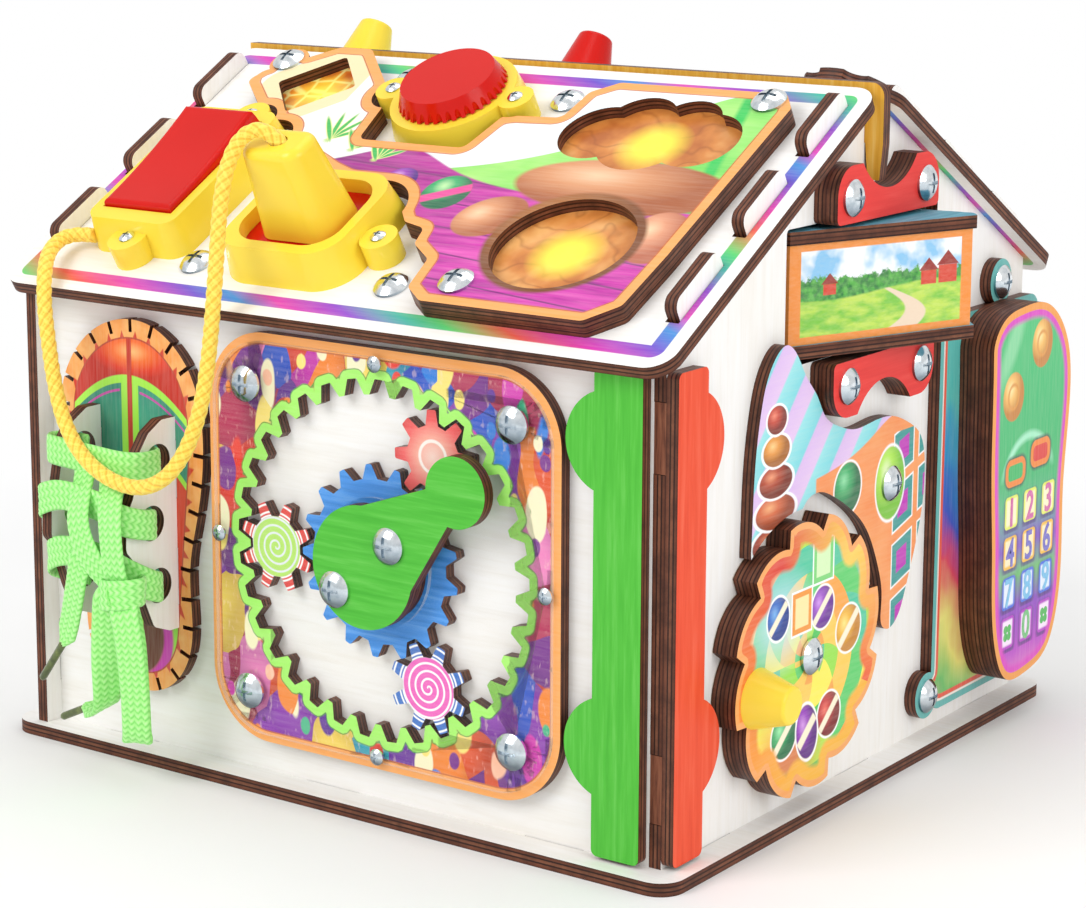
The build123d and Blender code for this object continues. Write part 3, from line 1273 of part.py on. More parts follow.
def ribbed_knob():
    """Red knob with ribs round its rim and a stem down through the roof."""
    knob = Pos(0, 0, KNOB_HEIGHT / 2) * Cone(KNOB_RADIUS, KNOB_TOP_RADIUS, KNOB_HEIGHT)
    middle = (KNOB_RADIUS + KNOB_TOP_RADIUS) / 2
    for rib in range(KNOB_RIBS):
        x, y = polar(middle + KNOB_RIB_RADIUS, 360 * rib / KNOB_RIBS)
        knob -= Pos(x, y, KNOB_HEIGHT / 2) * Cylinder(KNOB_RIB_RADIUS, 2 * KNOB_HEIGHT)
    reach = KNOB_RING_HEIGHT + PLY + 2 * RUNNING_GAP
    knob += Pos(0, 0, -reach / 2) * Cylinder(KNOB_STEM_RADIUS, reach)
    knob += Pos(0, 0, -reach - KNOB_FLANGE_THICK / 2) * Cylinder(KNOB_FLANGE_RADIUS, KNOB_FLANGE_THICK)
    return on_roof(KNOB_ALONG, KNOB_UP, KNOB_RING_HEIGHT + RUNNING_GAP) * knob


def plug_rope():
    """Rope from the rocker housing over the eave and up to the plug."""
    return tube(ROPE_ROUTE, ROPE_RADIUS, "rope", ROPE_RUN_SHARE)


def bracket_face(flip):
    """A picture bracket about its straight edge: round corners and an arched notch."""
    face = Pos(0, BRACKET_HEIGHT / 2) * Rectangle(BRACKET_WIDTH, BRACKET_HEIGHT)
    face = fillet([v for v in face.vertices() if v.Y > BRACKET_HEIGHT / 2], BRACKET_CORNER)
    face = fillet([v for v in face.vertices() if v.Y < BRACKET_FOOT_CORNER / 2], BRACKET_FOOT_CORNER)
    face -= disc(0, ARCH_DEPTH + ARCH_RADIUS, ARCH_RADIUS)
    return mirror(face, Plane.XZ) if flip else face


def brackets(lift):
    """The upper and the lower bracket at one layer."""
    screws = bracket_screws()
    upper = drill(Pos(0, WINDOW_HEAD) * bracket_face(False), screws)
    lower = drill(Pos(0, WINDOW_FOOT - FACE_GAP) * bracket_face(True), screws)
    return Compound(children=[board(RIGHT, upper, lift), board(RIGHT, lower, lift)])


def prism_face(inset):
    """The picture prism's three-sided plan with cut corners, about its axis."""
    inradius = PRISM_SIDE / (2 * sqrt(3)) - inset
    side = 2 * sqrt(3) * inradius
    cut = PRISM_CORNER_CUT * cos(pi / 6) - inset
    points = []
    for k in range(3):
        corner = polar(side / sqrt(3), 60 + 120 * k)
        for turn in (-150, 150):
            dx, dy = polar(cut, 60 + 120 * k + turn)
            points.append((corner[0] + dx, corner[1] + dy))
    return make_face(Polyline(*points, close=True))


def prism_plane(height):
    """Level plane on the prism's axis, turned so that one face is at its local -60 degrees side."""
    return Plane(origin=(PRISM_X, 0, height), x_dir=(1, 0, 0), z_dir=(0, 0, 1)) * Rot(0, 0, PRISM_ANGLE)


def picture_panels():
    """The prism's three picture walls, as one folded ring of boards."""
    height = PRISM_HEIGHT - 2 * PLY
    ring = prism_face(PRISM_PANEL_INSET) - prism_face(PRISM_PANEL_INSET + PLY)
    return extrude(prism_plane(PRISM_FOOT + PLY) * ring, amount=height)


def prism_pins():
    """The prism's bosses and pins, up and down into the shelves."""
    pieces = []
    ends = ((PRISM_TOP, UPPER_SHELF, 1), (PRISM_FOOT, LOWER_SHELF + PLY, -1))
    for face_height, shelf_height, direction in ends:
        boss = abs(shelf_height - face_height) - RUNNING_GAP
        centre = face_height + direction * boss / 2
        piece = Pos(PRISM_X, 0, centre) * Cylinder(PRISM_BOSS_RADIUS, boss)
        reach = RUNNING_GAP + PLY
        centre = face_height + direction * (boss + reach / 2)
        pieces.append(piece + Pos(PRISM_X, 0, centre) * Cylinder(PRISM_PIN_RADIUS, reach))
    return pieces


def picture_end_plates():
    """End plates of the prism with the pins it turns on."""
    lower_pin, upper_pin = reversed(prism_pins())
    upper = extrude(prism_plane(PRISM_TOP - PLY) * prism_face(0), amount=PLY) + upper_pin
    lower = extrude(prism_plane(PRISM_FOOT) * prism_face(0), amount=PLY) + lower_pin
    return Compound(children=[upper, lower])


def picture_shelves():
    """Shelves inside the gable that carry the prism's pins."""
    pieces = []
    for height in (UPPER_SHELF, LOWER_SHELF):
        plane = Plane(origin=(WALL_HALF, 0, height), x_dir=(1, 0, 0), z_dir=(0, 0, 1))
        sketch = Pos(-SHELF_DEPTH / 2, 0) * Rectangle(SHELF_DEPTH, SHELF_WIDTH)
        sketch += Pos(PLY / 2, 0) * Rectangle(PLY, SHELF_TAB_WIDTH)
        sketch -= disc(PRISM_X - WALL_HALF, 0, PRISM_PIN_RADIUS + PIVOT_GAP)
        pieces.append(extrude(plane * sketch, amount=PLY))
    return Compound(children=pieces)


def picture_plate():
    """Printed plate that curves round the wheel."""
    points = shaped(PLATE_OUTLINE_SHARES, PLATE_SIDE, PLATE_CENTRE_HEIGHT, PLATE_WIDTH, PLATE_HEIGHT)
    sketch = smooth_face(points) - disc(WHEEL_Y, WHEEL_HEIGHT, WHEEL_TIP_RADIUS + PLATE_WHEEL_GAP)
    return board(RIGHT, drill(sketch, [(PLATE_SCREW_SIDE, PLATE_SCREW_HEIGHT)]))


def wheel_face():
    """Saw-toothed disc: each tooth drops steeply on one side and falls away in an arc."""
    root = WHEEL_TIP_RADIUS - WHEEL_TOOTH_DEPTH
    pitch = 360 / WHEEL_TEETH
    edges = []
    for tooth in range(WHEEL_TEETH):
        angle = WHEEL_FIRST_ANGLE - tooth * pitch
        tip = polar(WHEEL_TIP_RADIUS, angle)
        low = polar(root, angle - pitch + WHEEL_NOTCH_ANGLE)
        middle = polar((WHEEL_TIP_RADIUS + root) / 2 + WHEEL_BACK_BULGE, angle - pitch / 2)
        edges.append(ThreePointArc(tip, middle, low))
        edges.append(Line(low, polar(WHEEL_TIP_RADIUS, angle - pitch)))
    return make_face(edges)


def wheel_disc(layer):
    """One ply of the wheel, bored for its screw and the knob's pin."""
    sketch = wheel_face() - disc(0, 0, DOME_SHANK_RADIUS + HOLE_GAP)
    sketch -= disc(WHEEL_KNOB_SIDE, -WHEEL_KNOB_DROP, WHEEL_KNOB_PIN_RADIUS)
    return board(RIGHT, Pos(WHEEL_Y, WHEEL_HEIGHT) * sketch, RUNNING_GAP + layer * PLY)


def cone_knob(foot, top, height, edge):
    """A round finger knob that narrows to its top."""
    knob = Pos(0, 0, height / 2) * Cone(foot, top, height)
    return fillet(knob.edges().group_by(Axis.Z)[-1], edge)


def wheel_knob():
    """Yellow knob on the wheel, with a pin through both plies."""
    knob = cone_knob(WHEEL_KNOB_FOOT_RADIUS, WHEEL_KNOB_TOP_RADIUS, WHEEL_KNOB_HEIGHT, WHEEL_KNOB_ROUND)
    knob += Pos(0, 0, -PLY) * Cylinder(WHEEL_KNOB_PIN_RADIUS, 2 * PLY)
    return RIGHT * Pos(WHEEL_Y + WHEEL_KNOB_SIDE, WHEEL_HEIGHT - WHEEL_KNOB_DROP, RUNNING_GAP + 2 * PLY) * knob


def peg_places():
    return [(PHONE_SIDE, PHONE_CENTRE_HEIGHT + side * PEG_SPREAD / 2) for side in (-1, 1)]


def phone_frame():
    """Board behind the phone with two screw ears and bored for the pegs."""
    body = RectangleRounded(FRAME_WIDTH, FRAME_HEIGHT, FRAME_CORNER)
    sketch = Pos(FRAME_SIDE + FRAME_WIDTH / 2, FRAME_FOOT + FRAME_HEIGHT / 2) * body
    for x, y in frame_ears():
        sketch += disc(x, y, FRAME_EAR_RADIUS)
    for x, y in peg_places():
        sketch -= disc(x, y, PEG_RADIUS)
    return board(RIGHT, drill(sketch, frame_ears()))


def phone_pegs():
    """Two pegs on the frame that carry the phone."""
    pieces = [board(RIGHT, disc(x, y, PEG_RADIUS), 0, PLY + PEG_REACH) for x, y in peg_places()]
    return Compound(children=pieces)


def phone_outline():
    return smooth_face(shaped(PHONE_OUTLINE_SHARES, PHONE_SIDE, PHONE_CENTRE_HEIGHT, PHONE_WIDTH, PHONE_HEIGHT))


def phone_plies():
    """Two plain boards of the phone, bored for the pegs."""
    sketch = phone_outline()
    for x, y in peg_places():
        sketch -= disc(x, y, PEG_RADIUS + RUNNING_GAP)
    return Compound(children=[board(RIGHT, sketch, PLY + layer * PLY) for layer in range(2)])


def phone_face():
    """Printed front board of the phone."""
    return board(RIGHT, phone_outline(), 3 * PLY)


def slider_board():
    """Printed board on the back roof with the knobs' slots."""
    sketch = Pos(-SLIDER_ALONG, SLIDER_UP) * RectangleRounded(SLIDER_LENGTH, SLIDER_WIDTH, SLIDER_CORNER)
    for slot in slider_slots():
        sketch -= slot
    return board(ROOF_BACK, drill(sketch, slider_screws()))


def slider_knob(along):
    """A knob on the back roof that runs in its slot."""
    knob = cone_knob(SLIDER_KNOB_FOOT_RADIUS, SLIDER_KNOB_TOP_RADIUS, SLIDER_KNOB_HEIGHT, WHEEL_KNOB_ROUND)
    reach = 2 * PLY + 2 * RUNNING_GAP
    knob += Pos(0, 0, -reach / 2) * Cylinder(SLIDER_STEM_RADIUS, reach)
    knob += Pos(0, 0, -reach - KNOB_FLANGE_THICK / 2) * Cylinder(KNOB_FLANGE_RADIUS, KNOB_FLANGE_THICK)
    return ROOF_BACK * Pos(-along, SLOT_UP, PLY + RUNNING_GAP) * knob


def spinner_disc():
    """Lobed two-ply spinner on the back roof."""
    sketch = Circle(SPINNER_RADIUS) - Circle(DOME_SHANK_RADIUS + HOLE_GAP)
    for lobe in range(SPINNER_LOBES):
        x, y = polar(SPINNER_RADIUS + SPINNER_DIP, 360 * lobe / SPINNER_LOBES)
        sketch -= disc(x, y, SPINNER_DIP_RADIUS)
    return board(ROOF_BACK, Pos(-SPINNER_ALONG, SPINNER_UP) * sketch, RUNNING_GAP, 2 * PLY)


def dome_screws():
    """Every large fixed screw with its nut."""
    pieces = bolted(FRONT, panel_screws(), PLY + CLEAR_SHEET, 3 * PLY + CLEAR_SHEET)
    pieces += bolted(ROOF_FRONT, ROOF_SCREW_PLACES, 0, PLY)
    pieces += bolted(ROOF_FRONT, overlay_screws(), OVERLAY_TOP, OVERLAY_TOP + PLY)
    pieces += bolted(RIGHT, bracket_screws(), 2 * PLY, 3 * PLY)
    pieces += bolted(RIGHT, [(PLATE_SCREW_SIDE, PLATE_SCREW_HEIGHT)] + frame_ears(), PLY, 2 * PLY)
    wheel_top = 2 * (PLY + RUNNING_GAP)
    pieces += bolted(RIGHT, [(WHEEL_Y, WHEEL_HEIGHT)], wheel_top, wheel_top + PLY)
    pieces += bolted(ROOF_BACK, slider_screws(), PLY, 2 * PLY)
    spinner_top = 2 * (PLY + RUNNING_GAP)
    pieces += bolted(ROOF_BACK, [(-SPINNER_ALONG, SPINNER_UP)], spinner_top, spinner_top + PLY)
    pieces += bolted(BACK, hatch_screws(), PLY, 2 * PLY)
    return Compound(children=pieces)


def small_screws():
    """Small screws of the clear cover and the roof fittings' ears."""
    pieces = [FRONT * Pos(x, y, PLY + CLEAR_SHEET) * small_screw() for x, y in cover_screws()]
    for x, y in ear_places():
        pieces.append(on_roof(x, y, HOUSING_EAR_HEIGHT) * small_screw())
    return Compound(children=pieces)


NODES = {
    "base_plate": base_plate, "front_wall": front_wall, "back_wall": back_wall,
    "left_gable": left_gable, "right_gable": right_gable, "front_roof": front_roof,
    "back_roof": back_roof, "ridge_board": ridge_board, "battery_hatch": battery_hatch,
    "corner_trim_green": corner_trim_green, "corner_trim_red": corner_trim_red,
    "shoe_sole": shoe_sole, "lacing_plates": lacing_plates, "shoelace": shoelace,
    "lace_tips": lace_tips, "gear_panel": gear_panel, "gear_cover": gear_cover,
    "gear_backing": gear_backing, "sun_gear": sun_gear, "sun_axle": sun_axle,
    "planet_gear_left": lambda: planet_gear(0), "planet_gear_lower": lambda: planet_gear(1),
    "planet_gear_upper": lambda: planet_gear(2), "planet_carrier": planet_carrier,
    "crank_spacer": crank_spacer, "crank_arm": crank_arm, "crank_screws": crank_screws,
    "overlay_board": overlay_board, "overlay_backing": overlay_backing,
    "light_windows": light_windows, "led_boards": led_boards, "battery_box": battery_box,
    "light_wires": light_wires, "switch_housing": switch_housing, "switch_rocker": switch_rocker,
    "socket_frame": socket_frame, "socket_insert": socket_insert, "plug_body": plug_body,
    "plug_prongs": plug_prongs, "knob_ring": knob_ring, "ribbed_knob": ribbed_knob,
    "plug_rope": plug_rope, "bracket_plies": lambda: brackets(0),
    "bracket_faces": lambda: brackets(PLY), "picture_panels": picture_panels,
    "picture_end_plates": picture_end_plates, "picture_shelves": picture_shelves,
    "picture_plate": picture_plate, "wheel_back_disc": lambda: wheel_disc(0),
    "wheel_front_disc": lambda: wheel_disc(1), "wheel_knob": wheel_knob,
    "phone_frame": phone_frame, "phone_pegs": phone_pegs, "phone_plies": phone_plies,
    "phone_face": phone_face, "slider_board": slider_board,
    "slider_knob_yellow": lambda: slider_knob(YELLOW_KNOB_ALONG),
    "slider_knob_red": lambda: slider_knob(RED_KNOB_ALONG), "spinner_disc": spinner_disc,
    "fasteners": lambda: Compound(children=[dome_screws(), small_screws()]),
}

os.makedirs("parts", exist_ok=True)
for name, make in NODES.items():
    export_step(make(), f"parts/{name}.step")
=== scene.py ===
import bmesh
import bpy
import math
import numpy as np
from collections import namedtuple
from mathutils import Matrix, Vector
from mathutils.geometry import convex_hull_2d


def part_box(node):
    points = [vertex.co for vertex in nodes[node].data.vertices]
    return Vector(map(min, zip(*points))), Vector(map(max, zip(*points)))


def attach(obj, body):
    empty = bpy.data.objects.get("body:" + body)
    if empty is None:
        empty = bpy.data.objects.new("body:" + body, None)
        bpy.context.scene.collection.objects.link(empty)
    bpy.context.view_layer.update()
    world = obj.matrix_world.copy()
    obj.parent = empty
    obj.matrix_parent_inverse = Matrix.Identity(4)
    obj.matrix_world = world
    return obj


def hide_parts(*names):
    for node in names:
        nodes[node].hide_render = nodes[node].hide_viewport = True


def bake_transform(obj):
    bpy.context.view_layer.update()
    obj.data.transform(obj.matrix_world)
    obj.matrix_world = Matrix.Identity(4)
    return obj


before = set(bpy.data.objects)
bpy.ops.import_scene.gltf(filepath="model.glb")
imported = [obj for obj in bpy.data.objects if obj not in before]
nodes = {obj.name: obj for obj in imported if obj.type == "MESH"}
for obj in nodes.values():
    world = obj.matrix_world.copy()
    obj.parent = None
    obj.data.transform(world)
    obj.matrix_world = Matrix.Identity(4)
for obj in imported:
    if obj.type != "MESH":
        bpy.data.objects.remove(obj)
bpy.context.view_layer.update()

# The view: a camera on the right in front of the house and a little above its roof.
# Its place and lens were fitted to the house's straight edges in the photograph.
MM = 0.001
PHOTO_WIDTH, PHOTO_HEIGHT = 1086, 908
FOCAL_PIXELS = 2801.84
PRINCIPAL_X, PRINCIPAL_Y = 574.67, 353.84
CAMERA_PLACE = Vector((522.33, -730.68, 289.95)) * MM
CAMERA_YAW = math.radians(34.89)
CAMERA_PITCH = math.radians(10.65)
CAMERA_ROLL = math.radians(0.36)
SENSOR = 36


def put(name, data):
    """A new object of the scene, at the origin."""
    thing = bpy.data.objects.new(name, data)
    bpy.context.scene.collection.objects.link(thing)
    return thing


ahead = Vector((-math.sin(CAMERA_YAW) * math.cos(CAMERA_PITCH),
                math.cos(CAMERA_YAW) * math.cos(CAMERA_PITCH), -math.sin(CAMERA_PITCH)))
level = Vector((math.cos(CAMERA_YAW), math.sin(CAMERA_YAW), 0))
upward = level.cross(ahead)
tilted = level * math.cos(CAMERA_ROLL) + upward * math.sin(CAMERA_ROLL)
upward = upward * math.cos(CAMERA_ROLL) - level * math.sin(CAMERA_ROLL)
camera = put("camera", bpy.data.cameras.new("camera"))
looking = Matrix((tilted, upward, -ahead)).transposed().to_4x4()
camera.matrix_world = Matrix.Translation(CAMERA_PLACE) @ looking
camera.data.sensor_width = SENSOR
camera.data.lens = SENSOR * FOCAL_PIXELS / PHOTO_WIDTH
camera.data.shift_x = (PHOTO_WIDTH / 2 - PRINCIPAL_X) / PHOTO_WIDTH
camera.data.shift_y = (PRINCIPAL_Y - PHOTO_HEIGHT / 2) / PHOTO_WIDTH
camera.data.clip_start = 0.01
bpy.context.scene.camera = camera
bpy.context.scene.view_settings.view_transform = "Standard"


# Finishes: every surface gets a node material. A Value stands for one output of a node, and sums
# with it add Math nodes to the same tree, so a print is written down as plain sums of millimetres.
class Value:
    def __init__(self, socket):
        self.socket = socket

    def out(self, name):
        """Another output of the same node."""
        return Value(self.socket.node.outputs[name])

    def __abs__(self):
        return calc("ABSOLUTE", self)


for sign, operation in (("add", "ADD"), ("sub", "SUBTRACT"), ("mul", "MULTIPLY"), ("truediv", "DIVIDE"),
                        ("gt", "GREATER_THAN"), ("lt", "LESS_THAN")):
    setattr(Value, f"__{sign}__", lambda self, other, how=operation: calc(how, self, other))
    setattr(Value, f"__r{sign}__", lambda self, other, how=operation: calc(how, other, self))


def tint(code):
    """A colour written as six hex digits, as Blender's linear colour."""
    parts = [int(code[i:i + 2], 16) / 255 for i in (0, 2, 4)]
    return (*[p / 12.92 if p <= 0.04045 else ((p + 0.055) / 1.055) ** 2.4 for p in parts], 1.0)


def feed(socket, value):
    """Give a socket another node's output, a colour's code or a plain number."""
    if isinstance(value, Value):
        socket.id_data.links.new(value.socket, socket)
    else:
        socket.default_value = tint(value) if isinstance(value, str) else value


def add(kind, settings, sockets, output=0, tree=None):
    """One output of a new node, in the tree that the values fed to it are in."""
    tree = tree or next(v.socket.id_data for v in sockets.values() if isinstance(v, Value))
    node = tree.nodes.new(kind)
    for key, value in settings.items():
        setattr(node, key, value)
    for key, value in sockets.items():
        feed(node.inputs[key], value)
    return Value(node.outputs[output])


def calc(operation, *values):
    return add("ShaderNodeMath", {"operation": operation}, dict(enumerate(values)))


def dot(where, axis):
    return add("ShaderNodeVectorMath", {"operation": "DOT_PRODUCT"}, {0: where, 1: tuple(axis)}, "Value")


def mixed(share, first, second, how="MIX"):
    return add("ShaderNodeMix", {"data_type": "RGBA", "blend_type": how}, {0: share, 6: first, 7: second}, 2)


def ramp(share, stops, how="LINEAR"):
    """A colour, or a grey where a stop is a number, that changes along a share from 0 to 1."""
    result = add("ShaderNodeValToRGB", {}, {0: share})
    band = result.socket.node.color_ramp
    band.interpolation = how
    for _ in stops[2:]:
        band.elements.new(0.5)
    for element, (place, _) in zip(band.elements, stops):
        element.position = place
    for element, (_, colour) in zip(band.elements, stops):
        element.color = tint(colour) if isinstance(colour, str) else (colour, colour, colour, 1)
    return result


def rising(value, low, high):
    return ramp(value, [(low, 0.0), (high, 1.0)])


def spot(tree, kind="Object"):
    return add("ShaderNodeTexCoord", {}, {}, kind, tree)


def placed(tree, scale=(1, 1, 1), turn=(0, 0, 0), shift=(0, 0, 0)):
    """Object coordinates in millimetres, turned and scaled."""
    stretch = tuple(s / MM for s in scale)
    return add("ShaderNodeMapping", {},
               {"Vector": spot(tree), "Rotation": turn, "Scale": stretch, "Location": shift})


def cloud(tree, scale, detail=3.0, stretch=(1, 1, 1), rough=0.5, twist=0.0):
    """Soft noise from 0 to 1 over the piece."""
    return add("ShaderNodeTexNoise", {}, {"Vector": placed(tree, stretch), "Scale": scale, "Detail": detail,
                                          "Roughness": rough, "Distortion": twist})


def carried(tree, name):
    """A number that the mesh carries at each point."""
    return add("ShaderNodeAttribute", {"attribute_name": name}, {}, "Fac", tree)


def bump(height, strength, distance):
    return add("ShaderNodeBump", {}, {"Strength": strength, "Distance": distance, "Height": height})


def finish(name, roughness, paint, **sockets):
    """A material whose base colour is paint(tree). The other sockets get plain values or such functions."""
    material = bpy.data.materials.new(name)
    material.use_nodes = True
    tree = material.node_tree
    shader = tree.nodes["Principled BSDF"]
    for key, value in dict(sockets, Roughness=roughness, Base_Color=paint).items():
        feed(shader.inputs[key.replace("_", " ")], value(tree) if callable(value) else value)
    return material


# The floor and the light: a pale studio table, three large soft lamps and a pale world.
# The light is plain and even, a little stronger from the left, as in the photograph.
FLOOR_REACH = 6
FLOOR_FADE = (0.19, 0.42)
LAMP_TARGET = Vector((0, 0, 0.1))
WORLD_LIGHT = 0.61
REFLECTED_LIGHT = 0.75

floor_mesh = bpy.data.meshes.new("floor")
floor_corners = [(-1, -1), (1, -1), (1, 1), (-1, 1)]
floor_mesh.from_pydata([(x * FLOOR_REACH, y * FLOOR_REACH, 0) for x, y in floor_corners], [], [(0, 1, 2, 3)])
floor = put("floor", floor_mesh)
floor_paint = finish("floor_paint", 0.9, lambda tree: ramp(
    cloud(tree, 0.01), [(0.0, "F3F3F2"), (1.0, "F7F7F7")]))
floor_nodes = floor_paint.node_tree.nodes
far = add("ShaderNodeVectorMath", {"operation": "LENGTH"}, {0: spot(floor_paint.node_tree)}, "Value")
rays = add("ShaderNodeLightPath", {}, {}, "Is Camera Ray", floor_paint.node_tree)
seen = calc("MAXIMUM", rays, calc("MAXIMUM", rays.out("Is Glossy Ray"), rays.out("Is Transmission Ray")))
plain_white = add("ShaderNodeEmission", {}, {"Color": "FFFFFF", "Strength": 1.0}, 0, floor_paint.node_tree)
lit = Value(floor_nodes["Principled BSDF"].outputs[0])
feed(floor_nodes["Material Output"].inputs["Surface"],
     add("ShaderNodeMixShader", {}, {0: seen * rising(far, *FLOOR_FADE), 1: lit, 2: plain_white}))
floor_mesh.materials.append(floor_paint)

for name, place, size, energy in (
    ("key_light", (-0.5, -1.3, 1.1), 0.9, 12), ("fill_light", (1.5, -0.35, 0.75), 0.9, 8.5),
    ("top_light", (0.1, 0.3, 1.6), 1.2, 6),
):
    light = bpy.data.lights.new(name, "AREA")
    light.size = size
    light.energy = energy
    heading = (LAMP_TARGET - Vector(place)).to_track_quat("-Z", "Y").to_matrix().to_4x4()
    put(name, light).matrix_world = Matrix.Translation(place) @ heading

world = bpy.data.worlds.new("studio")
world.use_nodes = True
rays = add("ShaderNodeLightPath", {}, {}, "Is Camera Ray", world.node_tree)
seen = calc("MAXIMUM", calc("MAXIMUM", rays, rays.out("Is Transmission Ray")),
            rays.out("Is Glossy Ray") * REFLECTED_LIGHT)
background = world.node_tree.nodes["Background"].inputs
feed(background["Color"], "FFFFFF")
feed(background["Strength"], calc("MAXIMUM", seen, WORLD_LIGHT))
bpy.context.scene.world = world

# The rope: a yellow braided polyester cord that runs from the rocker housing to the toy plug.
# It is one smooth spline through the open air, with its braid modelled as raised diamonds.
ROPE_ROUTE = [
    (-98.5, -103.4, 163.2), (-105.5, -103.4, 163.2), (-109.8, -107.3, 161.8),
    (-107.5, -115.0, 158.8), (-102.5, -122.0, 153.6), (-98.0, -126.8, 144.4),
    (-94.3, -129.0, 133.2), (-90.4, -131.0, 121.9), (-84.4, -133.5, 110.9),
    (-75.0, -136.0, 101.8), (-63.0, -137.2, 96.2), (-50.2, -137.2, 94.6),
    (-40.3, -136.0, 98.6), (-33.7, -133.5, 107.9), (-30.1, -131.0, 120.2),
    (-28.6, -129.0, 134.0), (-28.1, -127.3, 148.2), (-28.4, -125.2, 161.6),
    (-29.6, -122.5, 173.5), (-30.6, -119.6, 183.8), (-30.8, -116.6, 192.0),
    (-29.2, -113.6, 198.6), (-25.2, -111.0, 202.3), (-20.5, -108.6, 201.0),
    (-18.0, -105.9, 196.6),
]
ROPE_DIAMETER = 4.8
ROPE_SIDES = 40
ROPE_STEP = 0.32
BRAID_STRANDS = 4
BRAID_PITCH = 14.0
BRAID_RELIEF = 0.42


def spline_line(name, route, step):
    """Evenly spaced points on the smooth spline whose control points are the route's."""
    curve = bpy.data.curves.new(name, "CURVE")
    curve.dimensions = "3D"
    curve.resolution_u = 24
    spline = curve.splines.new("NURBS")
    spline.points.add(len(route) - 1)
    for point, place in zip(spline.points, route):
        point.co = (*(Vector(place) * MM), 1)
    spline.order_u = 3
    spline.use_endpoint_u = True
    holder = put(name, curve)
    bpy.context.view_layer.update()
    drawn = bpy.data.meshes.new_from_object(holder)
    points = np.array([v.co for v in drawn.vertices])
    bpy.data.objects.remove(holder)
    bpy.data.meshes.remove(drawn)
    along = np.concatenate([[0], np.cumsum(np.linalg.norm(np.diff(points, axis=0), axis=1))])
    marks = np.linspace(0, along[-1], max(2, int(round(along[-1] / step)) + 1))
    return np.stack([np.interp(marks, along, points[:, k]) for k in range(3)], 1), marks


def headings_of(line):
    headings = np.gradient(line, axis=0)
    return headings / np.linalg.norm(headings, axis=1)[:, None]


def tube(line, radius, angle):
    """Points of a tube round a line, ring by ring, with its sides carried along without twist."""
    headings = headings_of(line)
    sides = []
    current = np.array((0, 1, 0), float)
    for heading in headings:
        current = current - heading * (current @ heading)
        current /= np.linalg.norm(current)
        sides.append(current.copy())
    sides = np.array(sides)
    outs = np.cross(headings, sides)
    angle = angle[None, :, None]
    shell = line[:, None] + radius[..., None] * (
        np.cos(angle) * sides[:, None] + np.sin(angle) * outs[:, None])
    return shell.reshape(-1, 3)


def new_piece(name, points, faces, material):
    mesh = bpy.data.meshes.new(name)
    mesh.from_pydata([tuple(p) for p in points], [], faces)
    mesh.materials.append(material)
    mesh.polygons.foreach_set("use_smooth", [True] * len(mesh.polygons))
    return put(name, mesh)


def give_number(piece, name, values):
    """Write one number at each point of a piece, for its material to read."""
    numbers = piece.data.attributes.new(name, "FLOAT", "POINT").data
    numbers.foreach_set("value", np.asarray(values, np.float32))


def ring_faces(rings, sides):
    """Faces of a closed tube of rings, with its two ends capped."""
    faces = []
    for i in range(rings - 1):
        for j in range(sides):
            k = (j + 1) % sides
            faces.append((i * sides + j, i * sides + k, (i + 1) * sides + k, (i + 1) * sides + j))
    faces.append(tuple(reversed(range(sides))))
    faces.append(tuple((rings - 1) * sides + j for j in range(sides)))
    return faces


# Painted shade and highlight: the braid is coloured a deeper orange-yellow in the grooves between strands and
# pale yellow on the strands' crowns, following the modelled relief.
rope_paint = finish("yellow_braid", 0.62, lambda tree: mixed(
    cloud(tree, 0.35) * 0.35,
    ramp(carried(tree, "crown"), [(0.0, "ECA81C"), (0.45, "FCCC34"), (1.0, "FFE65E")]),
    "FFE070"), Sheen_Weight=0.25)
rope_points, rope_marks = spline_line("rope_line", ROPE_ROUTE, ROPE_STEP * MM)
angle = np.linspace(0, 2 * math.pi, ROPE_SIDES, endpoint=False)
turn = 2 * math.pi * rope_marks[:, None] / (BRAID_PITCH * MM)
left_strand = np.cos(BRAID_STRANDS * (angle[None, :] + turn))
right_strand = np.cos(BRAID_STRANDS * (angle[None, :] - turn))
over = np.cos(BRAID_STRANDS * angle[None, :]) * np.cos(BRAID_STRANDS * turn)
crowns = np.sqrt(np.clip(np.where(over > 0, left_strand, right_strand) * 0.5 + 0.5, 0, 1))
rope_shell = tube(rope_points, (ROPE_DIAMETER / 2 - BRAID_RELIEF * (1 - crowns)) * MM, angle)
rope = new_piece("plug_rope_braid", rope_shell, ring_faces(len(rope_points), ROPE_SIDES), rope_paint)
give_number(rope, "crown", crowns.ravel())
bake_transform(rope)
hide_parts("plug_rope")

# The plywood: boards cut by laser, so their faces are pale or printed and their edges are burnt brown.
# Birch ply of three layers, with two dark glue lines and scorch that varies along the cut.
PLY = 4.0
GRAIN_SCALE = 0.55
EDGE_BANDS = [
    (0.0, "2C130B"), (0.07, "6B3B27"), (0.27, "7A4732"), (0.32, "2A120A"), (0.39, "2A120A"),
    (0.45, "85533A"), (0.60, "7E4B35"), (0.66, "2A120A"), (0.73, "2A120A"), (0.79, "6E3D29"),
    (0.94, "5D3221"), (1.0, "2C130B"),
]


def burnt_edge(tree, depth):
    """Colour of a laser-cut edge from its depth in the board, in millimetres."""
    layer = calc("FRACT", depth / PLY) + (cloud(tree, 1.3, rough=0.6) - 0.5) * 0.05
    charred = rising(cloud(tree, 0.16, 4.0, rough=0.6), 0.38, 0.66) * 0.6
    return mixed(charred, ramp(layer, EDGE_BANDS), "2B140C")


def streaks(tree, along, stretch=14.0, scale=GRAIN_SCALE):
    """Fine wood grain that runs along one axis, as a number from 0 to 1."""
    squeeze = [1.0, 1.0, 1.0]
    squeeze[along] = 1 / stretch
    return cloud(tree, scale, 4.0, squeeze, 0.6, 0.2)


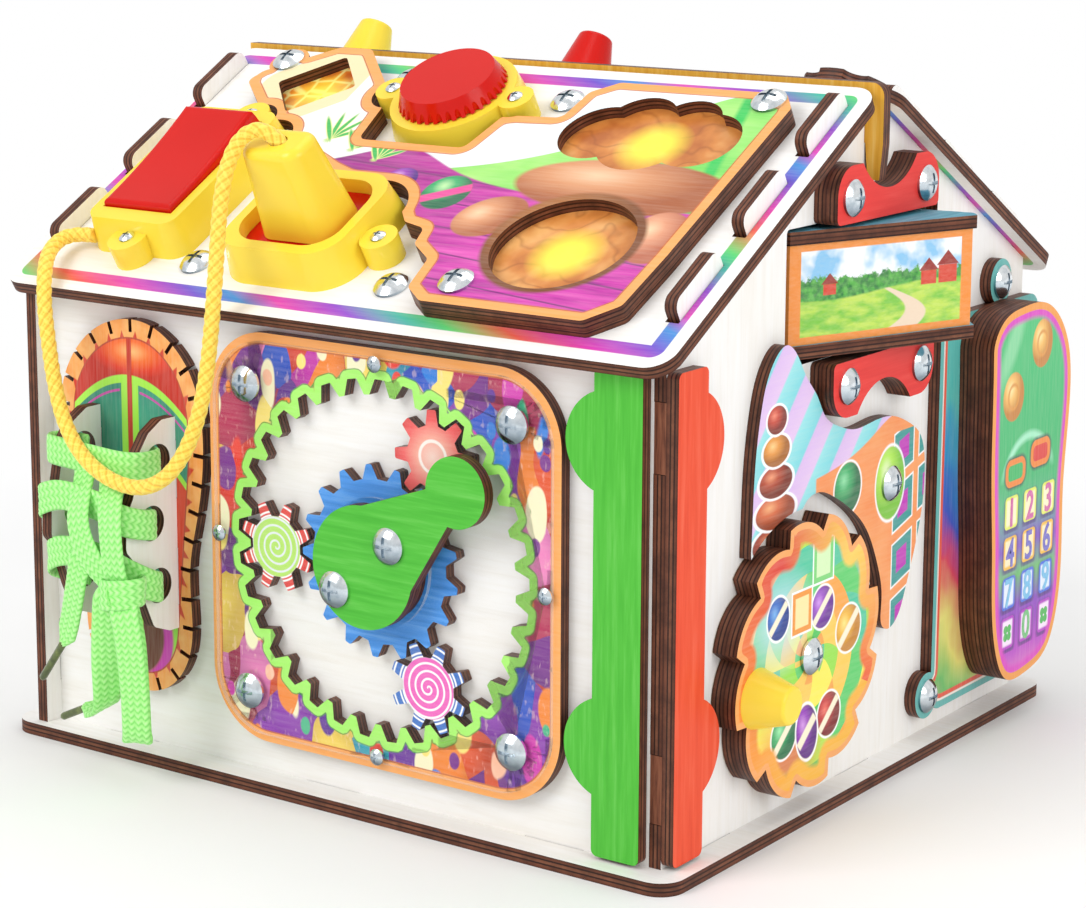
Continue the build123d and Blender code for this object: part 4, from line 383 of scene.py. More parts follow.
def whitewash(tree, along):
    """White-washed ply: a nearly white face with faint streaks and specks of grain."""
    face = ramp(streaks(tree, along), [(0.25, "F1EEE9"), (0.5, "F7F5F2"), (0.75, "FAF9F8")])
    warm = rising(streaks(tree, along, 6.0, 0.07), 0.42, 0.72) * 0.25
    specks = rising(streaks(tree, along, 9.0, 2.4), 0.66, 0.74) * 0.16
    return mixed(specks, mixed(warm, face, "EFE6D6"), "C9B89C")


def raw_ply(tree, along):
    """Unfinished birch: warm tan with clear grain."""
    return ramp(streaks(tree, along, 16.0, 0.42), [(0.25, "B98F60"), (0.5, "D9B98C"), (0.75, "EAD4AE")])


def stained(deep, bright, pale):
    """Stained ply: one strong colour whose grain shows as paler and deeper streaks."""
    def paint(tree, along):
        base = ramp(streaks(tree, along, 18.0, 0.5), [(0.28, deep), (0.52, bright), (0.78, pale)])
        return mixed(rising(streaks(tree, along, 22.0, 1.8), 0.6, 0.75) * 0.35, base, pale)
    return paint


def board_finish(name, node, paint, axis, along, roughness=0.55, back=None):
    """A board's finish: its face where the surface looks along the axis, and burnt edges elsewhere."""
    lowest = min(v.co.dot(axis) for v in nodes[node].data.vertices)

    def face_and_edge(tree):
        facing = dot(spot(tree, "Normal"), axis)
        colour = paint(tree, along)
        if back:
            colour = mixed(facing < 0.0, colour, back(tree, along))
        return mixed(abs(facing) > 0.6, burnt_edge(tree, dot(placed(tree), axis) - lowest / MM), colour)
    return finish(name, roughness, face_and_edge, Specular_IOR_Level=0.3,
                  Normal=lambda tree: bump(streaks(tree, along, 10.0, 1.2), 0.12, 0.0002))


def paint_node(node, material):
    mesh = nodes[node].data
    mesh.materials.clear()
    mesh.materials.append(material)


# The house: floor, walls, gables, ridge and hatch, all cut from white-washed ply.
# The ridge board is stained orange, and tabs through slots lock the boards together.
ALONG_X, ALONG_Y, ALONG_Z = 0, 1, 2
AXIS_X, AXIS_Y, AXIS_Z = (Vector(row) for row in Matrix.Identity(3))
GREEN_STAIN = stained("43AE2E", "52BC3A", "6ECB56")
RED_STAIN = stained("E0421F", "EA4F2A", "F0694A")
BLUE_STAIN = stained("2C7ED0", "4A98EA", "7DB9F5")
ORANGE_STAIN = stained("DE9A22", "EFB440", "F8CE72")
SCARLET_STAIN = stained("DE2E2A", "E63630", "EC4A42")
BARE, STAINED = 0.55, 0.45

for node, paint, axis, along, roughness in (
    ("base_plate", whitewash, AXIS_Z, ALONG_X, BARE), ("back_wall", whitewash, AXIS_Y, ALONG_X, BARE),
    ("left_gable", whitewash, AXIS_X, ALONG_Z, BARE), ("right_gable", whitewash, AXIS_X, ALONG_Z, BARE),
    ("battery_hatch", whitewash, AXIS_Y, ALONG_X, BARE), ("planet_carrier", whitewash, AXIS_Y, ALONG_X, BARE),
    ("lacing_plates", whitewash, AXIS_X, ALONG_Z, BARE), ("gear_backing", raw_ply, AXIS_Y, ALONG_X, BARE),
    ("bracket_plies", raw_ply, AXIS_X, ALONG_Y, BARE), ("wheel_back_disc", raw_ply, AXIS_X, ALONG_Y, BARE),
    ("phone_plies", raw_ply, AXIS_X, ALONG_Z, BARE), ("picture_shelves", raw_ply, AXIS_Z, ALONG_Y, BARE),
    ("phone_pegs", raw_ply, AXIS_X, ALONG_Y, BARE),
    ("corner_trim_green", GREEN_STAIN, AXIS_Y, ALONG_Z, STAINED),
    ("corner_trim_red", RED_STAIN, AXIS_X, ALONG_Z, STAINED),
    ("crank_arm", GREEN_STAIN, AXIS_Y, ALONG_X, STAINED),
    ("crank_spacer", GREEN_STAIN, AXIS_Y, ALONG_X, STAINED),
    ("sun_gear", BLUE_STAIN, AXIS_Y, ALONG_X, STAINED),
    ("ridge_board", ORANGE_STAIN, AXIS_Y, ALONG_Z, STAINED),
    ("bracket_faces", SCARLET_STAIN, AXIS_X, ALONG_Y, STAINED),
):
    paint_node(node, board_finish(node + "_finish", node, paint, axis, along, roughness))

# The printed boards: pictures printed straight on birch ply before it was cut, so the wood's grain
# shows through them. Each has a border line that follows its outline, as the printer drew it.
Sheet = namedtuple("Sheet", "origin across up out")


def sheet_on(origin, across, up):
    across, up = Vector(across), Vector(up)
    return Sheet(Vector(origin), across, up, across.cross(up))


PITCH = math.radians(30)
UPHILL = math.cos(PITCH)
RISE = math.sin(PITCH)
roof_low, roof_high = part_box("front_roof")
EAVE = roof_low[2] + PLY * MM * UPHILL
FRONT = sheet_on((0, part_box("front_wall")[0][1], 0), (1, 0, 0), (0, 0, 1))
RIGHT = sheet_on((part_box("right_gable")[1][0], 0, 0), (0, 1, 0), (0, 0, 1))
ROOF = sheet_on((0, roof_low[1], EAVE), (1, 0, 0), (0, UPHILL, RISE))
ROOF_BACK = sheet_on((0, -roof_low[1], EAVE), (-1, 0, 0), (0, -UPHILL, RISE))
CELL = 2.0
WIDE_LOOP = 60
SHARP = math.radians(30)
NO_OPENING = 1e3


def front_faces(cut, sheet, top):
    return [f for f in cut.faces if f.normal.dot(sheet.out) > 0.9
            and abs(f.verts[0].co.dot(sheet.out) - top) < 1e-5]


def cut_in_cells(node, sheet, cell):
    """A merged copy of a CAD board whose front is cut into small squares."""
    cut = bmesh.new()
    cut.from_mesh(nodes[node].data)
    bmesh.ops.remove_doubles(cut, verts=cut.verts, dist=1e-6)
    top = max(v.co.dot(sheet.out) for v in cut.verts)
    for direction in (sheet.across, sheet.up):
        reach = [v.co.dot(direction) for v in cut.verts]
        for place in np.arange(min(reach) + cell * MM / 2, max(reach), cell * MM):
            faces = front_faces(cut, sheet, top)
            edges = list({e for f in faces for e in f.edges})
            points = list({v for f in faces for v in f.verts})
            bmesh.ops.bisect_plane(cut, geom=points + edges + faces, plane_co=direction * float(place),
                                   plane_no=direction)
    return cut, top


def on_sheet(points, sheet):
    return [(v.co.dot(sheet.across) / MM, v.co.dot(sheet.up) / MM) for v in points]


def outline_loops(faces, sheet):
    """The edges round the front, sorted into closed loops from the widest down."""
    front = set(faces)
    rim = {e for f in faces for e in f.edges if sum(g in front for g in e.link_faces) == 1}
    loops = []
    while rim:
        stack = [rim.pop()]
        loop = []
        while stack:
            edge = stack.pop()
            loop.append(edge)
            near = [e for v in edge.verts for e in v.link_edges if e in rim]
            rim.difference_update(near)
            stack.extend(near)
        loops.append(np.array([on_sheet(e.verts, sheet) for e in loop]))
    return sorted(loops, key=lambda s: -np.ptp(s[..., 0]) - np.ptp(s[..., 1]))


def gap_to(points, segments):
    """Each point's distance to the nearest of many segments."""
    a, b = segments[:, 0], segments[:, 1]
    run = b - a
    size = np.maximum((run ** 2).sum(1), 1e-12)
    nearest = np.full(len(points), NO_OPENING)
    for start in range(0, len(points), 1000):
        offset = points[start:start + 1000, None] - a[None]
        share = np.clip((offset * run[None]).sum(2) / size[None], 0, 1)
        gaps = np.linalg.norm(offset - share[..., None] * run[None], axis=2)
        nearest[start:start + 1000] = gaps.min(1)
    return nearest


def printed_copy(node, sheet, cell):
    """The board's copy, with each point's distances to the outline and to its large openings."""
    cut, top = cut_in_cells(node, sheet, cell)
    loops = outline_loops(front_faces(cut, sheet, top), sheet)
    wide = [s for s in loops[1:] if np.linalg.norm(s[:, 1] - s[:, 0], axis=1).sum() > WIDE_LOOP]
    points = np.array(on_sheet(cut.verts, sheet))
    rim_points = loops[0].reshape(-1, 2)
    hull = rim_points[convex_hull_2d([Vector(p) for p in rim_points])]
    for edge in cut.edges:
        edge.smooth = len(edge.link_faces) == 2 and edge.calc_face_angle(0) < SHARP
    for face in cut.faces:
        face.smooth = True
    piece = put(node + "_printed", bpy.data.meshes.new(node + "_printed"))
    cut.to_mesh(piece.data)
    cut.free()
    give_number(piece, "rim", gap_to(points, loops[0]))
    give_number(piece, "hull", gap_to(points, np.stack([hull, np.roll(hull, -1, 0)], 1)))
    give_number(piece, "inner",
                gap_to(points, np.concatenate(wide)) if wide else np.full(len(points), NO_OPENING))
    return piece


def print_board(node, sheet, along, picture, body="house", cell=CELL):
    """Replace a CAD board by its printed copy, with the picture on its front."""
    def paint(tree, along):
        return grained(tree, picture(tree, *across_up(tree, sheet)), along)
    piece = printed_copy(node, sheet, cell)
    piece.data.materials.append(board_finish(node + "_print", node, paint, sheet.out, along, 0.42, raw_ply))
    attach(piece, body)
    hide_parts(node)


def across_up(tree, sheet):
    """Millimetres across and up the board, read from Object coordinates."""
    return [dot(placed(tree), direction) - sheet.origin.dot(direction) / MM
            for direction in (sheet.across, sheet.up)]


def grained(tree, colour, along):
    """Ink on birch: the pale grain lightens the print in fine streaks."""
    return mixed(rising(streaks(tree, along, 16.0, 1.1), 0.35, 0.7) * 0.09, colour, "FFF4E2")


def inside(distance, soft=0.12):
    """1 where a distance is below zero and 0 above it, with a narrow soft edge."""
    settings = {"operation": "MULTIPLY_ADD", "use_clamp": True}
    return add("ShaderNodeMath", settings, {0: distance, 1: -0.5 / soft, 2: 0.5})


def between(value, low, high, soft=0.12):
    return inside(calc("MAXIMUM", low - value, value - high), soft)


def local(x, y, place, stretch=(1, 1), turn=0.0):
    """Coordinates from a place, in a turned and stretched frame."""
    dx = x - place[0]
    dy = y - place[1]
    return ((dx * math.cos(turn) + dy * math.sin(turn)) / stretch[0],
            (dy * math.cos(turn) - dx * math.sin(turn)) / stretch[1])


def length_of(u, v):
    return calc("SQRT", u * u + v * v)


def far_from(*frame_of_place):
    return length_of(*local(*frame_of_place))


class Print:
    """A picture printed in layers. Each layer inks the places where its share is 1."""

    def __init__(self, tree, x, y, ground):
        self.tree, self.x, self.y, self.ink = tree, x, y, ground

    def lay(self, share, ink):
        self.ink = mixed(share, self.ink, ink)

    def oval(self, place, size, colours, turn=0.0, rim=None):
        """An oval with a shaded edge, as an airbrushed ball or cushion."""
        u, v = local(self.x, self.y, place, size, turn)
        far = length_of(u, v)
        shade = ramp(far_from(u, v, (-0.3, 0.35)), list(zip((0.0, 0.45, 1.0), colours)))
        self.lay(inside(far - 1.0, 0.03), shade)
        if rim:
            self.lay(between(far, 1.0, 1.0 + 0.7 / min(size), 0.03), rim)

    def border(self, *bands):
        """Lines that follow the outline, each from one distance to another."""
        rim = carried(self.tree, "rim")
        for low, high, colour in bands:
            self.lay(between(rim, low, high), colour)
        return self.ink

    def orange_border(self, wide, line):
        return self.border((-1.0, wide, "F7A85C"), (wide, line, "C8692E"))


def evenly(colours):
    return [(k / len(colours), colour) for k, colour in enumerate(colours)]


def patches(tree, scale, colours, stretch, turn, warp, seed):
    """Loose brush-like patches: warped cells, each filled with one of the colours."""
    where = placed(tree, stretch, turn, (seed, seed, seed))
    shake = add("ShaderNodeTexNoise", {}, {"Vector": where, "Scale": scale * 0.8, "Detail": 0.6}, "Color")
    pushed = add("ShaderNodeVectorMath", {"operation": "MULTIPLY_ADD"},
                 {0: shake, 1: (warp, warp, warp), 2: where})
    cell = add("ShaderNodeTexVoronoi", {}, {"Vector": pushed, "Scale": scale}, "Color")
    return (ramp(add("ShaderNodeSeparateColor", {}, {0: cell}), evenly(colours), "CONSTANT"),
            cell.out("Distance"))


# The gear panel: a rounded board with a printed field of brush marks, an orange border and a lime
# band round its inner teeth. Four domed screws hold it, and four small ones hold its clear cover.
PAINT_COLOURS = ["6A2C9C", "C42AA8", "E2342A", "F58A2E", "2C5CC8", "7A2E8E", "F8DC5A", "B8305A", "2FA8B8",
                 "8E3AB0", "E85A2A", "3D2F96", "F28AC0", "D8402E"]
DAB_COLOURS = ["F9E27A", "E83A2E", "5E2A96", "FBC0A0", "D43AB0", "2F7FD8", "F28A34", "3FB88A", "7A2E8E",
               "F6F0C8"]
LIME_WIDTH = 2.7


def gear_picture(tree, x, y):
    field, far = patches(tree, 0.07, PAINT_COLOURS, (1, 1, 0.75), (0, 0.5, 0), 16.0, 3.0)
    small, near = patches(tree, 0.085, DAB_COLOURS, (1.25, 1, 0.6), (0, -0.45, 0), 6.0, 41.0)
    third, close = patches(tree, 0.13, DAB_COLOURS, (1, 1, 0.7), (0, 0.8, 0), 1.5, 83.0)
    shade = ramp(far, [(0.0, "FFFFFF"), (0.45, "F0E4F4"), (0.8, "A070B8")])
    picture = Print(tree, x, y, mixed(0.5, field, shade, "MULTIPLY"))
    picture.lay(inside(near - 0.42, 0.02), small)
    picture.lay(inside(close - 0.24, 0.02), third)
    picture.lay(rising(cloud(tree, 0.5, 3.0, (1, 1, 0.4), 0.6), 0.58, 0.64) * 0.3, "FFE0D0")
    inner = carried(tree, "inner")
    picture.lay(between(inner, -1.0, LIME_WIDTH), "A6F06A")
    picture.lay(between(inner, LIME_WIDTH, LIME_WIDTH + 0.3), "4E9A3A")
    return picture.orange_border(3.2, 3.6)


print_board("gear_panel", FRONT, ALONG_X, gear_picture, cell=1.4)

# The three small gears: printed ply. Two carry a white spiral, all have bright teeth.
TEETH_FROM = 9.3
COIL_PITCH = 2.35
BAND_PITCH = 2.4


def middle_of(node, sheet):
    low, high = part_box(node)
    middle = (Vector(low) + Vector(high)) / 2 - sheet.origin
    return middle.dot(sheet.across) / MM, middle.dot(sheet.up) / MM


def gear_print(node, ring, field, line, turn):
    """A spiral on a round field, with banded teeth round it."""
    def picture(tree, x, y):
        u, v = local(x, y, middle_of(node, FRONT))
        far = length_of(u, v)
        coil = far / COIL_PITCH + calc("ARCTAN2", v, u) / (2 * math.pi * turn)
        disc = mixed(between(calc("FRACT", coil), 0.36, 0.64, 0.05), field, line)
        teeth = mixed(between(calc("FRACT", far / BAND_PITCH), 0.3, 0.55, 0.06), ring, "FFFFFF")
        face = mixed(inside(far - TEETH_FROM), teeth, disc)
        return mixed(between(far, TEETH_FROM, TEETH_FROM + 0.5), face, "FFFFFF")
    return picture


def plain_gear_picture(tree, x, y):
    far = far_from(x, y, middle_of("planet_gear_upper", FRONT))
    blush = ramp(far / 14.0, [(0.0, "FBD9CC"), (0.4, "F7A896"), (0.75, "EE5A5A"), (1.0, "D83A3A")])
    return mixed(between(far, 4.2, 5.2), blush, "FFF3EA")


for node, body, picture in (
    ("planet_gear_left", "planet_left", gear_print("planet_gear_left", "E23B36", "B9E86A", "E8EEF2", -1)),
    ("planet_gear_lower", "planet_lower", gear_print("planet_gear_lower", "2C6FC4", "EE62BE", "FFFFFF", 1)),
    ("planet_gear_upper", "planet_upper", plain_gear_picture),
):
    print_board(node, FRONT, ALONG_X, picture, body)

# The picture board on the roof: printed ply over a thin backing. Its picture is a generic nursery:
# a pale sky, a green hill, a magenta plank floor with cushions and balls, and an orange border all round.
SHADE_FROM = -40.0
WING_FROM = -52.0
CUSHIONS_AND_BALLS = (
    ((73.0, 68.0), (37.0, 13.0), ("F2C9A2", "D9966A", "A9603C"), 0.0),
    ((38.0, 49.0), (12.0, 9.5), ("F6D0A8", "DC9A70", "B06844"), 0.5),
    ((97.0, 47.0), (10.0, 12.0), ("F6D0A8", "E09A78", "B96A50"), 0.2),
    ((69.0, 41.0), (25.5, 23.5), ("C98A50", "A96A36", "7A4420"), 0.0),
    ((-4.5, 61.5), (6.4, 6.4), ("E6B0F4", "9A3CB8", "4E1E86"), 0.0),
    ((16.0, 58.0), (8.4, 8.4), ("C4F0B0", "38B070", "1E6C4C"), 0.0),
)


def hump(x, centre, width, height):
    """A smooth bump of a line along x."""
    far = (x - centre) / width
    return height / (1.0 + far * far)


def overlay_picture(tree, x, y):
    picture = Print(tree, x, y, ramp(cloud(tree, 0.09, 3.0, (0.25, 1, 1)), [
        (0.3, "FBFBFA"), (0.5, "EAF5F8"), (0.62, "F3FAF0"), (0.75, "F9F2F6")]))
    hill = ramp(cloud(tree, 0.06, 3.0, (0.5, 1, 1)), [(0.3, "6FD35C"), (0.5, "93E06E"), (0.7, "B8EC86")])
    on_hill = inside(y - (56.0 + hump(x, 96.0, 46.0, 62.0)))
    picture.lay(on_hill, hill)
    picture.lay(on_hill * between(x - y * -0.17, 109.0, 113.0, 0.8), "35C65A")
    wood = ramp(streaks(tree, ALONG_X, 12.0, 0.35), [(0.3, "A0248E"), (0.5, "CC36A8"), (0.72, "E65ABC")])
    shade = ramp((x - SHADE_FROM) / 150.0, [(0.0, "7A3FA8"), (0.55, "FFFFFF")])
    gap = between(calc("FRACT", (y + x * 0.1) / 11.0), 0.0, 0.06, 0.02)
    floor_top = 58.0 + hump(x, -12.0, 26.0, 20.0)
    picture.lay(inside(y - floor_top, 0.4), mixed(gap, mixed(0.65, wood, shade, "MULTIPLY"), "7E2478"))
    for thing in CUSHIONS_AND_BALLS:
        picture.oval(*thing)
    ball, size = CUSHIONS_AND_BALLS[-1][:2]
    u, v = local(x, y, ball, size, 0.5)
    picture.lay(inside(length_of(u, v) - 1.0, 0.03) * between(v, -0.28, 0.16, 0.04), "E8489C")
    for step in range(3):
        for lean in (-1.0, -0.55, -0.15, 0.25, 0.65):
            reach = 7.5 - step
            root = (-44.0 + 12.0 * step - reach * 0.8 * math.sin(lean),
                    79.0 - 4.0 * step + reach * 0.8 * math.cos(lean))
            for width, ink in ((1.15, "F4F0A0"), (0.75, "3DB85A")):
                picture.lay(inside(far_from(x, y, root, (width, reach), lean) - 1.0, 0.2), ink)
    wing = inside(x - WING_FROM) * inside(80.0 - y)
    picture.lay(wing * inside(carried(tree, "inner") - 6.5), "F6E3B4")
    return picture.orange_border(3.3, 3.75)


print_board("overlay_board", ROOF, ALONG_X, overlay_picture)

# The two roof boards: white-washed ply with a printed rainbow stripe a little way in from the edges.
ROOF_HALF = roof_high[0] / MM
SLOPE_LENGTH = (roof_high[2] - EAVE) / MM / RISE
STRIPE_CORNER = 8.0
STRIPE_NEAR, STRIPE_FAR = 4.3, 9.3
RAINBOW = [(0.0, "D93BB4"), (0.15, "8A45C8"), (0.28, "36B4A0"), (0.36, "58D070"), (0.5, "E85A48"),
           (0.64, "DB3BB0"), (0.8, "6A4CC8"), (0.9, "3A8FD8"), (1.0, "D93BB4")]


def rounded_box(x, y, place, half, corner):
    """Distance to a box with round corners, below zero inside it."""
    dx = abs(x - place[0]) - (half[0] - corner)
    dy = abs(y - place[1]) - (half[1] - corner)
    beyond = far_from(calc("MAXIMUM", dx, 0.0), calc("MAXIMUM", dy, 0.0), (0, 0))
    return beyond + calc("MINIMUM", calc("MAXIMUM", dx, dy), 0.0) - corner


def roof_paint(sheet):
    def paint(tree, along):
        x, y = across_up(tree, sheet)
        edge = rounded_box(x, y, (0, SLOPE_LENGTH / 2), (ROOF_HALF, SLOPE_LENGTH / 2), STRIPE_CORNER)
        ink = grained(tree, ramp(calc("FRACT", (x + y * 2.2) / 170.0), RAINBOW), along)
        return mixed(between(edge, -STRIPE_FAR, -STRIPE_NEAR), whitewash(tree, along), ink)
    return paint


for node, sheet in (("front_roof", ROOF), ("back_roof", ROOF_BACK)):
    paint_node(node, board_finish(node + "_finish", node, roof_paint(sheet), sheet.out, ALONG_X))

# The front wall: white-washed ply. Where its tabs pass through the gable, their faces are scorched dark.
WALL_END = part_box("right_gable")[1][0] / MM - PLY


def wall_paint(tree, along):
    scorched = inside(WALL_END + 0.1 - across_up(tree, FRONT)[0])
    dark = ramp(streaks(tree, ALONG_Z, 12.0, 0.9), [(0.3, "4A2518"), (0.5, "7A4630"), (0.7, "8E5A40")])
    return mixed(scorched, whitewash(tree, along), dark)


paint_node("front_wall", board_finish("front_wall_corner_finish", "front_wall", wall_paint, AXIS_Y, ALONG_X))

# The wheel: a saw-toothed printed disc on a plain one, held by a domed screw it turns on, with a
# yellow finger knob. Its print is a mosaic of arcs with plain balls and blocks on it.
WHEEL = (-42.0, 51.5)
WHEEL_TINTS = ["46C85A", "9AE24E", "FBEF5A", "5FD070", "F9CF5A", "B4EA50", "4CC8A0", "F7A848"]
WHEEL_RIM = ["EE5A2E", "FBD25A", "DC3A30", "F4882E", "F8B83A"]
WHEEL_BALLS = (
    (8.0, 23.0, (7.2, 7.2), ("FFE98A", "F2B93A", "C8862A")),
    (140.0, 24.0, (6.0, 6.4), ("7FB8F0", "2F6FC8", "1E3F90")),
    (300.0, 24.0, (6.6, 6.8), ("F47A6A", "C42E32", "7E161E")),
    (236.0, 25.0, (7.0, 7.0), ("9BEFB0", "34B06A", "177048")),
    (268.0, 23.0, (6.0, 8.5), ("D79BEA", "9A3FC0", "5E2284")),
    (62.0, 15.0, (6.4, 6.4), ("D59AF0", "9A48C8", "6A2C98")),
)
WHEEL_BLOCKS = (
    ((-35.0, 79.0), (5.6, 6.2), "7BD67A", "D8F6C0"), ((-47.0, 66.0), (5.4, 6.2), "F29A3C", "FFE9A8"),
)


def wheel_picture(tree, x, y):
    u, v = local(x, y, WHEEL)
    far = length_of(u, v)
    angle = calc("ARCTAN2", v, u) / (math.pi / 6)
    sector = calc("FLOOR", angle + far / 14.0)
    place = add("ShaderNodeCombineXYZ", {}, {0: sector, 1: calc("FLOOR", far / 8.5)})
    pick = add("ShaderNodeTexWhiteNoise", {"noise_dimensions": "2D"}, {"Vector": place}, "Value")
    picture = Print(tree, x, y, ramp(pick, evenly(WHEEL_TINTS), "CONSTANT"))
    for place, size, soft, share, ink in (
        ((-60.0, 66.0), (15.0, 12.0), 0.5, 0.7, "BFE6F6"), ((-54.0, 24.0), (14.0, 10.0), 0.6, 0.85, "E86A42"),
    ):
        picture.lay(inside(far_from(x, y, place, size) - 1.0, soft) * share, ink)
    for degrees, reach, size, colours in WHEEL_BALLS:
        direction = math.radians(degrees)
        centre = (WHEEL[0] + reach * math.cos(direction), WHEEL[1] + reach * math.sin(direction))
        picture.oval(centre, size, colours, 0.2, "FFFFFF")
        u, v = local(x, y, centre, size, 0.7)
        picture.lay(inside(length_of(u, v) - 1.0, 0.03) * between(v, -0.18, 0.18, 0.04), "FFF3D8")
    for corner, half, frame_colour, fill in WHEEL_BLOCKS:
        box = calc("MAXIMUM", abs(x - corner[0]) - half[0], abs(y - corner[1]) - half[1])
        picture.lay(inside(box - 0.7), "FFFFFF")
        picture.lay(inside(box), frame_colour)
        picture.lay(inside(box + 1.6), fill)
    rim_ink = ramp(calc("FRACT", angle / 12.0 + 0.07), evenly(WHEEL_RIM))
    picture.lay(between(carried(tree, "rim"), -1.0, 6.2, 0.8) * inside(26.5 - far, 0.8), rim_ink)
    return picture.border((-1.0, 2.0, "F6A75E"))


print_board("wheel_front_disc", RIGHT, ALONG_Y, wheel_picture, "wheel")

# The picture plate beside the wheel: printed ply, one screw. Its left part has soft diagonal stripes,
# the right part an orange field with framed squares.
FIELD_FROM = -33.0
PILE_FOOT = (-56.0, 88.0)
PILE_STEP = 9.0
PILE = (
    ((12.5, 5.2), ("E88A5A", "A8402A", "6E2418")), ((11.0, 5.0), ("F6B07A", "D8683A", "98401E")),
    ((9.2, 4.8), ("F09A70", "B84A2C", "7A2A18")), ((7.4, 4.6), ("FBD08A", "E8983A", "A8641E")),
    ((5.4, 4.2), ("F28A70", "C84432", "7E2018")),
)


def plate_picture(tree, x, y):
    stripes = ramp(calc("FRACT", (y - x * 1.1) / 24.0), [
        (0.0, "E6C8F0"), (0.45, "DDBDEE"), (0.5, "7FD8E0"), (0.95, "9AE4E8"), (1.0, "E6C8F0")])
    on_field = inside(FIELD_FROM - x, 0.3) * inside(y - (100.0 + hump(x, 16.0, 22.0, 14.0)), 0.2)
    cell_x = calc("FRACT", (x + 3.0) / 16.0) - 0.5
    cell_y = calc("FRACT", (y + x * -0.28) / 17.5) - 0.5
    box = calc("MAXIMUM", abs(cell_x), abs(cell_y))
    field = ramp(cloud(tree, 0.05), [(0.3, "F58E4C"), (0.7, "F9A868")])
    squares = Print(tree, x, y, field)
    for reach, ink in ((0.41, "FFFFFF"), (0.375, "3C9A96"), (0.2, "C030B8")):
        squares.lay(inside(box - reach, 0.01), ink)
    far_right = inside(13.5 - x) * inside(y - 108.0)
    picture = Print(tree, x, y, mixed(on_field, stripes, mixed(far_right, field, squares.ink)))
    for step, (half, colours) in enumerate(PILE):
        picture.oval((PILE_FOOT[0], PILE_FOOT[1] + PILE_STEP * step), half, colours, rim="FFFFFF")
    picture.oval((-14.0, 96.0), (8.0, 8.0), ("8FE0A8", "3FAE6A", "1F6E46"), rim="FFFFFF")
    picture.oval((12.5, 92.6), (9.0, 11.5), ("F4FFD0", "B8EC5A", "7CC43A"), rim="FFFFFF")
    return picture.ink


print_board("picture_plate", RIGHT, ALONG_Y, plate_picture)

# The picture prism: three walls of printed ply between two end plates stained blue-grey. Each wall
# has a plain landscape with an orange border; the end plates turn on pins between the shelves.
PRISM_LOW, PRISM_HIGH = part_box("picture_panels")
PRISM_AXIS_X = 107.97
FACE_TURN = math.radians(-21)
COTTAGES = ((18.0, 3.0, 4.2), (25.5, 3.6, 5.4), (-20.0, 2.4, 3.2))
COTTAGE_FOOT = 14.0


def landscape(tree):
    parts = add("ShaderNodeSeparateXYZ", {}, {0: placed(tree)}, "X")
    s = (parts - PRISM_AXIS_X) * -math.sin(FACE_TURN) + parts.out("Y") * math.cos(FACE_TURN)
    z = parts.out("Z") - PRISM_LOW[2] / MM
    tall = (PRISM_HIGH[2] - PRISM_LOW[2]) / MM
    picture = Print(tree, s, z, ramp(cloud(tree, 0.09), [(0.42, "8CC8F0"), (0.56, "F4FAFE")]))
    woods = ramp(cloud(tree, 0.5), [(0.35, "1F7A34"), (0.65, "5CB84A")])
    picture.lay(inside(z - (15.0 + cloud(tree, 0.3, 4.0, rough=0.7) * 8.0), 0.4), woods)
    meadow = ramp(cloud(tree, 0.12, 3.0, (1, 1, 3)), [(0.35, "7CC840"), (0.6, "C4E25A")])
    on_field = inside(z - (14.0 + calc("SINE", s / 14.0) * 1.6), 0.3)
    picture.lay(on_field, meadow)
    off_path = abs(s - (calc("SINE", z / 4.2) * 9.0 + 4.0))
    picture.lay(inside(off_path - (6.5 - z * 0.38), 0.4) * on_field, "EFD8BE")
    for centre, wide, high in COTTAGES:
        dx = abs(s - centre)
        wall = calc("MAXIMUM", dx - wide, abs(z - (COTTAGE_FOOT + high / 2)) - high / 2)
        gable = z - (COTTAGE_FOOT + high + wide) + dx - 0.8
        picture.lay(inside(wall), "D8442E")
        picture.lay(inside(calc("MAXIMUM", gable, COTTAGE_FOOT + high - z)), "9A2A24")
    edge = calc("MINIMUM", calc("MINIMUM", z, tall - z), 33.0 - abs(s))
    picture.lay(inside(edge - 2.2), "F2913A")
    return grained(tree, picture.ink, ALONG_Y)


paint_node("picture_panels", finish("landscape_print", 0.42, landscape))
paint_node("picture_end_plates", board_finish(
    "end_plate_finish", "picture_end_plates", stained("4A96B0", "62AEC4", "86C6D6"), AXIS_Z, ALONG_Y, 0.5))

# The toy phone: a printed face on two plain boards. The face has an orange and a magenta line round
# it, a green upper field, two oval keys, and a keypad of twelve tiles with raised-looking digits.
KEY_PITCH = 13.5
KEY_COLUMNS = (73.0, 86.5, 100.0)
KEY_ROWS = (73.0, 59.5, 46.0, 32.5)
KEYS_LEFT, KEYS_RIGHT = KEY_COLUMNS[0] - KEY_PITCH / 2, KEY_COLUMNS[2] + KEY_PITCH / 2
KEYS_LOW, KEYS_HIGH = KEY_ROWS[3] - KEY_PITCH / 2, KEY_ROWS[0] + KEY_PITCH / 2
KEY_HALF = (4.6, 5.4)
KEY_OUTER = ("B83AC8", "4A6FE0", "F8C24A", "E8F06A")
KEY_INNER = ("FCE8FF", "EAF2FF", "FFF0C8", "FFF6D0")
EAR_SIZE = (7.4, 8.0)


